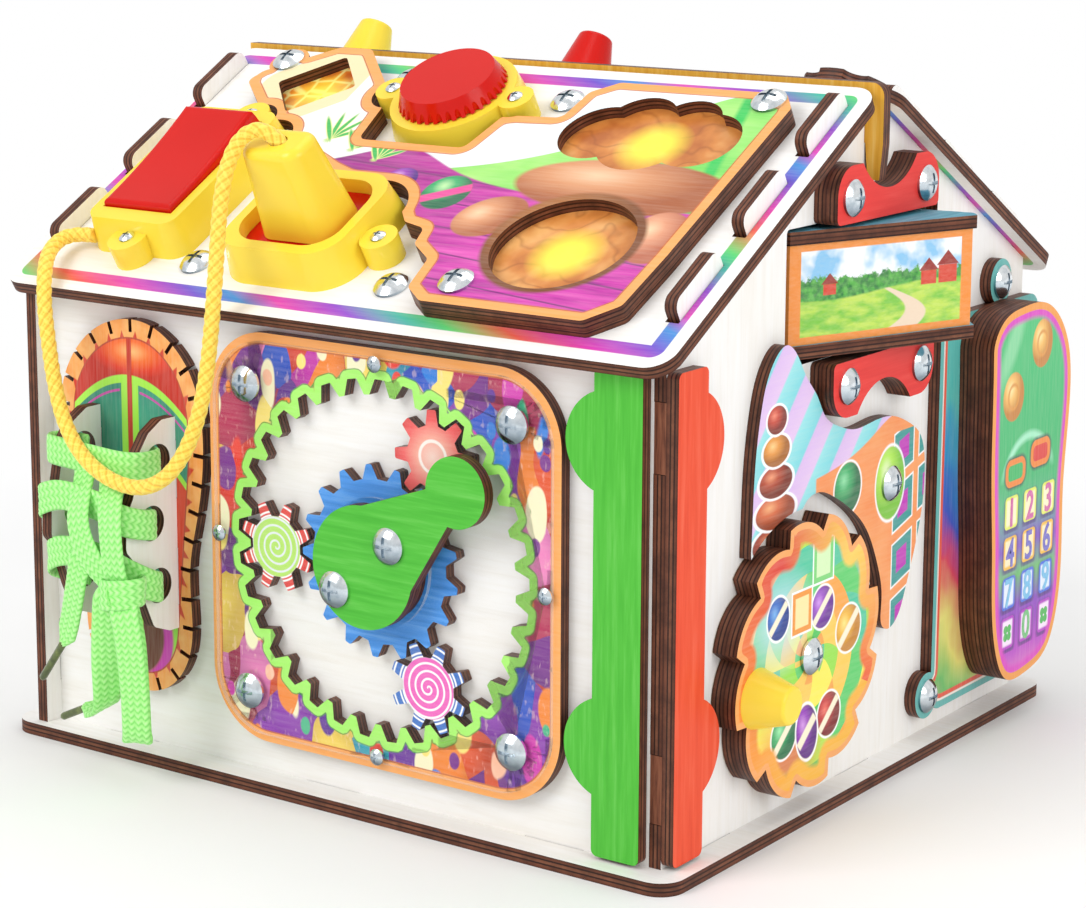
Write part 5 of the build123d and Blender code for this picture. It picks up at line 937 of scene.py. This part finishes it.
def phone_picture(tree, x, y):
    picture = Print(tree, x, y, ramp((y + cloud(tree, 0.05) * 10.0) / 140.0, [
        (0.12, "F08AC8"), (0.22, "BC4AC8"), (0.33, "8A46C0"), (0.4, "6FC070"), (0.47, "8450C4"),
        (0.57, "5CB886"), (0.64, "3FB872"), (1.0, "48C27A")]))
    local_x = (calc("FRACT", (x - KEYS_LEFT) / KEY_PITCH) - 0.5) * KEY_PITCH
    local_y = (calc("FRACT", (y - KEYS_LOW) / KEY_PITCH) - 0.5) * KEY_PITCH
    pad = between(x, KEYS_LEFT, KEYS_RIGHT) * between(y, KEYS_LOW, KEYS_HIGH)
    shadow = rounded_box(local_x, local_y + 0.8, (0, 0), (KEY_HALF[0] + 0.7, KEY_HALF[1] + 0.7), 2.0)
    picture.lay(pad * inside(shadow, 0.8) * 0.75, "4A2A78")
    tile = rounded_box(local_x, local_y, (0, 0), KEY_HALF, 1.6)
    row = (y - KEYS_LOW) / (4 * KEY_PITCH)
    picture.lay(pad * inside(tile), ramp(row, evenly(KEY_OUTER), "CONSTANT"))
    picture.lay(pad * inside(tile + 1.1, 0.4), ramp(row, evenly(KEY_INNER), "CONSTANT"))
    for column in (0, 2):
        for lean_x, lean_y in ((-1.25, -1.25), (-1.25, 1.25), (1.25, -1.25), (1.25, 1.25)):
            leaf = far_from(x, y, (KEY_COLUMNS[column] + lean_x, KEY_ROWS[3] + lean_y))
            picture.lay(inside(leaf - 1.45), "4AB85A")
    arc = far_from(x, y, (84.0, 76.0), (21.0, 22.0))
    picture.lay(between(arc, 0.88, 1.0, 0.04) * inside(86.0 - y, 3.0), "A8ECC8")
    for place, ink in (((75.0, 86.0), "3FB86A"), ((93.0, 89.5), "DC3C38")):
        key = rounded_box(x, y, place, (7.2, 4.6), 3.6)
        picture.lay(inside(key - 0.8, 0.6), "3A6A58")
        picture.lay(inside(key), "F08A3C")
        picture.lay(inside(key + 2.0), ink)
    for place in ((91.6, 126.0), (71.7, 111.3)):
        picture.oval(place, EAR_SIZE, ("FFF0B0", "F6C26A", "C8843C"))
        picture.lay(between(far_from(x, y, place, EAR_SIZE), 0.42, 0.56, 0.05), "E09A48")
    picture.lay(inside(far_from(x, y, (70.0, 128.0), (4.0, 14.0), -0.6) - 1.0, 0.4) * 0.4, "C0F4CC")
    rim = carried(tree, "rim")
    picture.lay(inside(rim - 4.8, 0.9), "DC46C4")
    picture.lay(inside(rim - 2.4), "F2A04A")
    return picture.ink


print_board("phone_face", RIGHT, ALONG_Z, phone_picture, "phone")

# The keypad's digits: ink, as thin as a film on the phone's face. One piece for each colour of ink.
DIGIT_ROWS = (("D0309A", 0, "123"), ("4A3AC0", 1, "456"), ("58B8E8", 2, "789"), ("4AB85A", 3, " 0 "))
DIGIT_HEIGHT = 9.6
CAPITAL_SHARE = 0.72
DIGIT_NARROW = 0.85
FILM = 0.15 * MM
phone_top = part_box("phone_face")[1][0]
for ink, row, signs in DIGIT_ROWS:
    joined = bmesh.new()
    for column, sign in enumerate(signs):
        if sign == " ":
            continue
        curve = bpy.data.curves.new("digit", "FONT")
        curve.body = sign
        curve.size = DIGIT_HEIGHT * MM / CAPITAL_SHARE
        curve.align_x = "CENTER"
        curve.align_y = "CENTER"
        curve.extrude = FILM / 2
        curve.offset = 0.25 * MM
        holder = put("digit", curve)
        bpy.context.view_layer.update()
        drawn = bpy.data.meshes.new_from_object(holder)
        centre = [(min(v.co[k] for v in drawn.vertices) + max(v.co[k] for v in drawn.vertices)) / 2
                  for k in (0, 1)]
        for v in drawn.vertices:
            v.co = (phone_top + FILM / 2 + v.co.z,
                    KEY_COLUMNS[column] * MM + (v.co.x - centre[0]) * DIGIT_NARROW,
                    KEY_ROWS[row] * MM + v.co.y - centre[1])
        joined.from_mesh(drawn)
        bpy.data.objects.remove(holder)
        bpy.data.meshes.remove(drawn)
    bmesh.ops.remove_doubles(joined, verts=joined.verts, dist=1e-7)
    bmesh.ops.recalc_face_normals(joined, faces=joined.faces)
    digits = put("phone_digits_" + ink, bpy.data.meshes.new("phone_digits_" + ink))
    joined.to_mesh(digits.data)
    joined.free()
    digits.data.materials.append(finish("digit_ink_" + ink, 0.4, lambda tree: mixed(
        cloud(tree, 0.8) * 0.3, ink, "FFFFFF")))
    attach(digits, "phone")

# The phone's frame: printed ply with two screw ears, a teal line and a red line round it, and inside
# them a blurred field of blue, red and green.
FRAME_FIELD = [(0.16, "C8A88A"), (0.26, "5CB85A"), (0.36, "E8E07A"), (0.46, "D83A5A"), (0.56, "2F4FC0"),
               (0.66, "2A8FC8"), (0.8, "4FB8B0")]


def frame_picture(tree, x, y):
    wave = (y + (cloud(tree, 0.03) - 0.5) * 60.0 + x * 0.6) / 190.0
    picture = Print(tree, x, y, ramp(wave, FRAME_FIELD))
    return picture.border((-1.0, 2.3, "5FB3AE"), (2.3, 3.1, "F4E8E0"), (3.1, 4.6, "E5533C"))


print_board("phone_frame", RIGHT, ALONG_Z, frame_picture)

# The shoe: a printed sole-shaped board whose rim is notched like a tread. It shows a sports shoe from
# above: a red toe, a teal upper with lime bands, a red tongue, and an orange heel.
SHOE_X = middle_of("shoe_sole", FRONT)[0]
LIME = "A8F04A"
TREAD_NOTCHES = 32
TONGUE_HALF = 15.5


def shoe_picture(tree, x, y):
    rim = carried(tree, "hull")
    u = x - SHOE_X
    wide = abs(u)
    toe = ramp(far_from(u, y, (1.0, 130.0), (19.0, 8.0)), [
        (0.0, "FFC27A"), (0.4, "F4702A"), (0.75, "E2381C"), (1.0, "C8281A")])
    upper = ramp(cloud(tree, 0.06), [(0.35, "2C8C78"), (0.6, "3EA88A"), (0.75, "5CC29A")])
    heel = ramp((y - 22.0) / 34.0, [(0.0, "E88A3C"), (0.3, "C8602E"), (0.55, "8A4A2A"), (0.8, "3F8A6A")])
    picture = Print(tree, u, y, mixed(inside(54.0 - y, 1.0), heel, upper))
    picture.lay(rising(wide / 26.0, 0.4, 1.0) * 0.35, "1C5A50")
    slant = y + wide - 112.0
    picture.lay(inside(TONGUE_HALF - wide, 0.3) * inside(slant, 0.3), "DE4426")
    picture.lay(between(slant, 0.0, 2.4) * inside(TONGUE_HALF - wide), LIME)
    collar = far_from(u, y, (0.0, 40.0), (13.0, 14.0))
    for low, high, ink in ((-1.0, 0.95, "6B3A28"), (0.95, 1.25, "CC34B4"), (1.25, 1.48, "9AE848")):
        picture.lay(between(collar, low, high, 0.04) * inside(y - 52.0, 0.5), ink)
    under = 122.5 - u * u * 0.02 - y
    picture.lay(between(under, 4.4, 5.2) * inside(4.2 - wide), "D048B0")
    picture.lay(between(wide, 1.0, 3.6), LIME)
    picture.lay(between(under, 0.0, 2.6), LIME)
    picture.lay(inside(under, 0.2), toe)
    picture.lay(between(wide, -1.0, 1.0), "C42E1E")
    du, dv = local(u, y, (0.0, 81.0), (1.0, 1.9))
    notch = calc("FRACT", calc("ARCTAN2", dv, du) * (TREAD_NOTCHES / (2 * math.pi)))
    tick = abs(notch - 0.5) - (rim - 3.4) * 0.07
    tread = ramp(cloud(tree, 0.2), [(0.35, "F29A48"), (0.65, "F8B468")])
    tread = mixed(inside(tick, 0.03) * inside(3.4 - rim, 0.1), tread, "D23A24")
    picture.lay(inside(rim - 5.8), tread)
    picture.lay(between(rim, 5.6, 6.1), "B8402A")
    return picture.ink


print_board("shoe_sole", FRONT, ALONG_Z, shoe_picture)

# The toys on the back roof: a printed board with two sliding knobs, and a lobed spinner.
# Both are printed ply like the boards in front. The spinner turns on one screw.
BLUES = ["5AC8E8", "8ADCF0", "B8ECF8", "7AD0A0", "A8E8C0"]


def slider_picture(tree, x, y):
    field, _ = patches(tree, 0.06, BLUES, (1, 1, 1), (0, 0, 0), 8.0, 9.0)
    return Print(tree, x, y, field).orange_border(3.0, 3.5)


def spinner_picture(tree, x, y):
    u, v = local(x, y, middle_of("spinner_disc", ROOF_BACK))
    turn = calc("FRACT", calc("ARCTAN2", v, u) * (6 / (2 * math.pi)) + length_of(u, v) / 16.0)
    return ramp(turn, [(0.0, "F2C23C"), (0.34, "E8503A"), (0.67, "3F9AD8")], "CONSTANT")


print_board("slider_board", ROOF_BACK, ALONG_X, slider_picture)
print_board("spinner_disc", ROOF_BACK, ALONG_X, spinner_picture, "spinner")

# The moulded toys: glossy plastic, bright yellow and red, with the fine ripple that moulding leaves.
# Each housing, knob and plug is one moulding.
for name, colour, deep, gloss, node_names in (
    ("yellow_plastic_gloss", "FAE04A", "F9DA3E", 0.3,
     ("switch_housing", "socket_frame", "plug_body", "knob_ring", "wheel_knob", "slider_knob_yellow")),
    ("red_plastic_gloss", "D2140A", "CC1208", 0.18,
     ("switch_rocker", "socket_insert", "plug_prongs", "ribbed_knob", "slider_knob_red")),
):
    plastic = finish(
        name, lambda tree: 0.2 + cloud(tree, 0.3) * 0.06,
        lambda tree: ramp(cloud(tree, 0.03, 2.0), [(0.3, deep), (0.7, colour)]),
        Normal=lambda tree: bump(cloud(tree, 0.12, 2.0), 0.1, 0.0003), Specular_IOR_Level=gloss,
        Subsurface_Weight=0.06, Subsurface_Radius=(0.004, 0.003, 0.001), Coat_Weight=0.1, Coat_Roughness=0.12)
    for node in node_names:
        paint_node(node, plastic)

# The screws and the axle: bright zinc-plated steel with a faint blue cast. Their colour holds a painted
# reflection
# and painted shade: a surface that looks up is painted paler, as the studio's light, and one that looks away
# darker.
BRIGHT_FROM = (0.25, 0.1, 0.95)


def zinc(tree):
    # Painted reflection and shade: paler where the surface faces up, darker where it faces away.
    painted_reflection = ramp(dot(spot(tree, "Normal"), BRIGHT_FROM) * 0.5 + 0.5, [
        (0.25, "7E8A94"), (0.42, "B4C0CA"), (0.55, "DCE6EC"), (0.72, "F4F8FA")])
    return mixed(0.5, painted_reflection, ramp(cloud(tree, 0.5), [(0.3, "C8D0D6"), (0.6, "FFFFFF")]), "MULTIPLY")


steel = finish("zinc_plate", lambda tree: 0.08 + cloud(tree, 1.6) * 0.18, zinc, Metallic=1.0)
for node in ("fasteners", "crank_screws", "sun_axle"):
    paint_node(node, steel)

# The clear cover: cast acrylic over the gears, nearly invisible but for its gloss and its edges.
# It is cut from sheet, so its sides show more than its faces.


def acrylic_cover(tree):
    on_side = abs(dot(spot(tree, "Normal"), AXIS_Y)) < 0.5
    return on_side * 0.3 + (cloud(tree, 0.04) * 0.012 + 0.006)


paint_node("gear_cover", finish("clear_acrylic", 0.05, lambda tree: mixed(
    cloud(tree, 0.1), "F4F8FA", "E8F0F4"), Alpha=acrylic_cover))

# The three light windows: printed film on clear sheet, one lamp behind each. The lamps' light is painted on
# the film as pale yellow pools and also given off as emission.
# The small window's film has a warm net of cells, and the two large ones a swirl of amber.
LAMPS = ((-69.5, 106.8), (68.0, 94.0), (69.3, 40.5))
GLOW_REACH = 13.0
SMALL_WINDOW_TO = -40.0


def painted_lamp_glow(tree, x, y):
    # Painted light: the share of lamp glow, full at each lamp's place, fading out by GLOW_REACH and dimmer on
    # the small window.
    shares = [ramp(far_from(x, y, place) / GLOW_REACH, [(0.0, 1.0), (0.35, 0.75), (1.0, 0.0)])
              for place in LAMPS]
    glow = calc("MAXIMUM", calc("MAXIMUM", shares[0], shares[1]), shares[2])
    return glow * (1.0 - inside(x - SMALL_WINDOW_TO) * 0.35)


def film(tree):
    x, y = across_up(tree, ROOF)
    picture = Print(tree, x, y, ramp(cloud(tree, 0.07), [(0.3, "B8672E"), (0.5, "D98A42"), (0.7, "EDB06A")]))
    swirl = between(calc("FRACT", (cloud(tree, 0.05, 2.0) + y / 60.0) * 5.0), 0.4, 0.5, 0.1)
    picture.lay(swirl * 0.5, "8E4A22")
    cells = add("ShaderNodeTexVoronoi", {"feature": "DISTANCE_TO_EDGE"},
                {"Vector": placed(tree), "Scale": 0.15, "Randomness": 0.35}, "Distance")
    picture.lay(inside(x - SMALL_WINDOW_TO),
                ramp(cells, [(0.04, "F8E08A"), (0.12, "EE8A2E"), (0.45, "C83C1E")]))
    # Painted light: the pale yellow pool of each lamp's glow.
    picture.lay(painted_lamp_glow(tree, x, y), "FEF24A")
    return picture.ink


# The painted lamp glow is also given off as emission; no lamp lights the film from behind.
paint_node("light_windows", finish(
    "lit_film", 0.25, film, Emission_Strength=0.35,
    Emission_Color=lambda tree: mixed(painted_lamp_glow(tree, *across_up(tree, ROOF)), "3A1C08", "FFE83A")))

# Hidden fittings: lamp boards under the roof, the battery box and its wires, and the backing board.
# They are a circuit board's green, dark moulded plastic and bare ply.
paint_node("led_boards", finish("circuit_board", 0.45, lambda tree: ramp(
    cloud(tree, 0.6), [(0.4, "0F5A2C"), (0.6, "2A8A4A")])))
dark_plastic = finish("dark_moulding", 0.55, lambda tree: ramp(
    cloud(tree, 0.9), [(0.3, "1C1C1E"), (0.7, "2C2C30")]),
    Normal=lambda tree: bump(cloud(tree, 2.2), 0.3, 0.0002))
for node in ("battery_box", "light_wires"):
    paint_node(node, dark_plastic)
paint_node("overlay_backing", board_finish("backing_finish", "overlay_backing", raw_ply, ROOF.out, ALONG_X))

# The shoelace: one flat lace woven of light green polyester, threaded round the front of the two
# plates into their three holes, then tied in a bow whose loop and two ends hang down.
LACE_WIDTH = 9.4
LACE_THICK = 1.5
LACE_STEP = 0.34
NARROWING = 7
WALES = 4
WALE_POINTS = 23
WEAVE_PITCH = 2.1
WEAVE_RELIEF = 0.2
UPRIGHT = (0, 0, 1)

# Painted shade and highlight: the weave is coloured a deeper green in its hollows and between the wales, and
# pale green on its crowns, following the modelled relief.
lace_paint = finish("green_weave", 0.75, lambda tree: mixed(
    cloud(tree, 1.8) * 0.2,
    ramp(carried(tree, "crown"), [(0.0, "7ADC62"), (0.3, "A0F284"), (0.7, "BCFA9E"), (1.0, "CEFFB2")]),
    "92EE76"), Sheen_Weight=0.3)


def lace_strip(name, route, side, ends):
    """One stretch of the lace: its rings of points, faces and weave, and the line it follows."""
    line, marks = spline_line(name, route, LACE_STEP * MM)
    headings = headings_of(line)
    given = np.atleast_2d(np.array(side, float))
    share = np.linspace(0, 1, len(given))
    sides = np.stack([np.interp(marks / marks[-1], share, given[:, k]) for k in range(3)], 1)
    sides -= headings * (sides * headings).sum(1)[:, None]
    sides /= np.linalg.norm(sides, axis=1)[:, None]
    outs = np.cross(sides, headings)
    across = np.linspace(-1, 1, WALE_POINTS)
    around = np.concatenate([across, across[-2:0:-1]])
    face = np.concatenate([np.ones(WALE_POINTS), -np.ones(WALE_POINTS - 2)])
    bulk = LACE_THICK / 2 * np.sqrt(np.clip(1 - np.abs(around) ** 5, 0, 1))
    wale = (around + 1) / 2 * WALES
    slant = np.abs(wale % 1 - 0.5) * 1.3
    crown = 0.5 + 0.5 * np.cos(2 * math.pi * (marks[:, None] / MM / WEAVE_PITCH + slant[None, :]))
    crown = crown * (0.75 + 0.25 * np.cos(2 * math.pi * (wale - 0.5)))[None, :]
    reach = np.clip(np.minimum(marks / (NARROWING * MM) + ends[0],
                               (marks[-1] - marks) / (NARROWING * MM) + ends[1]), 0, 1)
    width = LACE_WIDTH / 2 * reach[:, None] * around[None, :]
    fuller = 1 + (1 - reach)[:, None] * 0.6
    height = face[None, :] * (bulk[None, :] * fuller + WEAVE_RELIEF * (crown - 0.5) * (bulk > 0.1)[None, :])
    shell = line[:, None] + (width[..., None] * sides[:, None] + height[..., None] * outs[:, None]) * MM
    return shell.reshape(-1, 3), ring_faces(len(line), len(around)), crown.ravel(), line


def lace_piece(name, strips):
    """Several strips joined into one piece."""
    points = []
    faces = []
    crowns = []
    for number, (route, side, ends) in enumerate(strips):
        shell, quads, crown, line = lace_strip(f"{name}_{number}", route, side, ends)
        start = sum(len(p) for p in points)
        faces += [tuple(k + start for k in face) for face in quads]
        points.append(shell)
        crowns.append(crown)
    piece = new_piece(name, np.concatenate(points), faces, lace_paint)
    give_number(piece, "crown", np.concatenate(crowns))
    fixed = bmesh.new()
    fixed.from_mesh(piece.data)
    bmesh.ops.recalc_face_normals(fixed, faces=fixed.faces)
    fixed.to_mesh(piece.data)
    fixed.free()
    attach(piece, "house")
    return piece, line


FULL = (1.0, 1.0)
TO_TIP = (1.0, 0.28)
ROWS = (
    ([(-87.5, -120.1, 99.1), (-94.2, -120.1, 99.5), (-95.1, -123.2, 100.0), (-95.0, -129.0, 100.6),
      (-92.4, -132.2, 100.8), (-84.0, -133.0, 100.6), (-70.0, -133.2, 100.0), (-62.0, -132.8, 99.4),
      (-56.4, -130.6, 99.2), (-55.0, -124.8, 99.2), (-56.2, -120.6, 99.2), (-62.5, -119.9, 99.1)],
     UPRIGHT, FULL),
    ([(-87.5, -123.3, 80.3), (-94.2, -123.3, 80.5), (-95.2, -126.8, 81.4), (-95.1, -133.4, 83.6),
      (-92.0, -136.2, 86.0), (-84.0, -136.6, 88.6), (-73.0, -136.6, 88.0), (-64.0, -136.8, 86.4),
      (-57.6, -136.6, 83.8), (-55.0, -131.5, 82.0), (-54.8, -126.2, 80.9), (-56.4, -123.4, 80.3),
      (-62.5, -122.9, 80.3)], UPRIGHT, FULL),
    ([(-87.5, -120.6, 60.2), (-94.2, -120.6, 60.5), (-95.1, -123.6, 61.6), (-95.0, -130.0, 64.6),
      (-92.0, -133.4, 68.0), (-84.0, -135.0, 70.6), (-73.0, -135.6, 71.2), (-64.0, -135.2, 69.4),
      (-58.2, -133.6, 66.2), (-55.2, -129.0, 63.0), (-55.0, -124.0, 60.9), (-56.4, -120.9, 60.2),
      (-62.5, -120.5, 60.2)], UPRIGHT, FULL),
)
STRAPS = (
    ([(-77.5, -131.0, 99.5), (-75.6, -133.8, 94.4), (-73.6, -138.0, 89.4), (-72.3, -140.8, 83.6),
      (-70.6, -141.2, 77.8), (-66.8, -141.0, 71.4), (-63.0, -139.6, 66.0), (-60.2, -136.8, 61.5)],
     (1, 0, 0.3), FULL),
    ([(-67.0, -131.0, 99.0), (-64.4, -133.6, 94.0), (-61.4, -137.6, 89.4), (-59.2, -140.4, 84.4),
      (-58.2, -141.0, 77.4), (-57.6, -140.8, 70.8), (-57.8, -139.4, 65.6), (-58.2, -136.6, 61.0)],
     (1, 0, 0.04), FULL),
)
KNOT_PLACE = (-58.2, -136.6, 61.6)
KNOT_REACH = (7.6, 5.4)
KNOT_TILT = 1.1
KNOT_TURNS = [(KNOT_PLACE[0] + KNOT_REACH[0] * math.cos(math.radians(a)),
               KNOT_PLACE[1] + KNOT_REACH[1] * math.sin(math.radians(a)),
               KNOT_PLACE[2] + KNOT_TILT * math.cos(math.radians(a))) for a in range(60, 481, 30)]
SHORT_END = [(-60.5, -137.0, 62.5), (-66.0, -137.7, 68.0), (-70.6, -137.8, 70.6), (-74.6, -137.8, 69.4),
             (-76.4, -137.6, 63.0), (-79.6, -136.4, 54.0), (-82.6, -135.2, 46.4), (-86.2, -134.2, 40.0)]
SHORT_SIDES = ((0.6, 0, 0.8), (0.4, 0, 0.9), (-0.3, 0, 0.95), (-0.9, 0.1, 0.4), (-0.9, 0.15, 0.35),
               (-0.85, 0.2, 0.35))
LONG_END = [(-53.6, -135.0, 60.6), (-57.0, -138.6, 62.0), (-61.0, -140.2, 60.4), (-62.4, -139.6, 56.2),
            (-63.9, -138.4, 46.8), (-64.9, -137.2, 39.0), (-65.8, -136.0, 30.1), (-68.4, -133.8, 23.2),
            (-74.4, -131.8, 20.4), (-81.0, -131.0, 19.8)]
LONG_SIDES = ((0.2, 0, 1), (0.9, 0.2, 0.3), (1, 0.3, 0), (0.9, 0.45, 0), (0.65, 0.75, 0), (0.4, 0.9, 0),
              (0.2, 0.9, 0.35), (0.1, 0.8, 0.6))
BOW_LOOP = [(-57.4, -136.6, 61.5), (-54.4, -140.6, 58.5), (-52.2, -140.6, 49.0), (-52.0, -139.4, 37.5),
            (-52.4, -138.2, 27.0), (-53.8, -136.6, 17.0), (-56.0, -133.8, 13.6), (-57.8, -131.8, 17.0),
            (-58.9, -131.0, 28.0), (-59.6, -130.8, 38.0), (-60.0, -131.2, 48.0), (-60.4, -133.6, 58.0)]
KNOT_AND_SHORT_END = ((KNOT_TURNS, (0.1, 0, 1), FULL), (SHORT_END, SHORT_SIDES, TO_TIP))
laced, _ = lace_piece("lace_rows", ROWS + STRAPS + KNOT_AND_SHORT_END)
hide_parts("shoelace")
long_end, long_line = lace_piece("lace_long_end", ((LONG_END, LONG_SIDES, TO_TIP),))
bow, bow_line = lace_piece("lace_bow_loop", ((BOW_LOOP, (1, 0.3, 0), FULL),))

# The two ends of the lace: hard sleeves of dark olive plastic, each pressed round the narrowed lace.
# Each is a thin round tube with its two rims rounded over.
SLEEVE_RADIUS = 1.2
SLEEVE_SIDES = 24
SLEEVES = (("lace_tip_short", (-85.4, -134.4, 41.2), (-97.5, -133.0, 26.1)),
           ("lace_tip_long", (-79.6, -131.2, 20.0), (-91.7, -130.6, 14.3)))
sleeve_paint = finish("lace_tip_sleeve", 0.3, lambda tree: ramp(
    cloud(tree, 0.4), [(0.3, "3E4A1C"), (0.6, "5C6A2C"), (0.8, "7C8A40")]), Coat_Weight=0.4)
for name, first, last in SLEEVES:
    first, last = np.array(first), np.array(last)
    run = np.linalg.norm(last - first)
    rim = np.array([0.0, 0.15, 0.5])
    inset = np.concatenate([rim, np.linspace(SLEEVE_RADIUS, run - SLEEVE_RADIUS, 12), run - rim[::-1]])
    thick = SLEEVE_RADIUS * np.sqrt(np.clip(np.minimum(inset, run - inset) / SLEEVE_RADIUS, 0.02, 1))
    line = (first + (last - first) / run * inset[:, None]) * MM
    angle = np.linspace(0, 2 * math.pi, SLEEVE_SIDES, endpoint=False)
    shell = tube(line, thick[:, None] * MM, angle)
    sleeve = new_piece(name, shell, ring_faces(len(line), SLEEVE_SIDES), sleeve_paint)
    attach(sleeve, "house")
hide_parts("lace_tips")
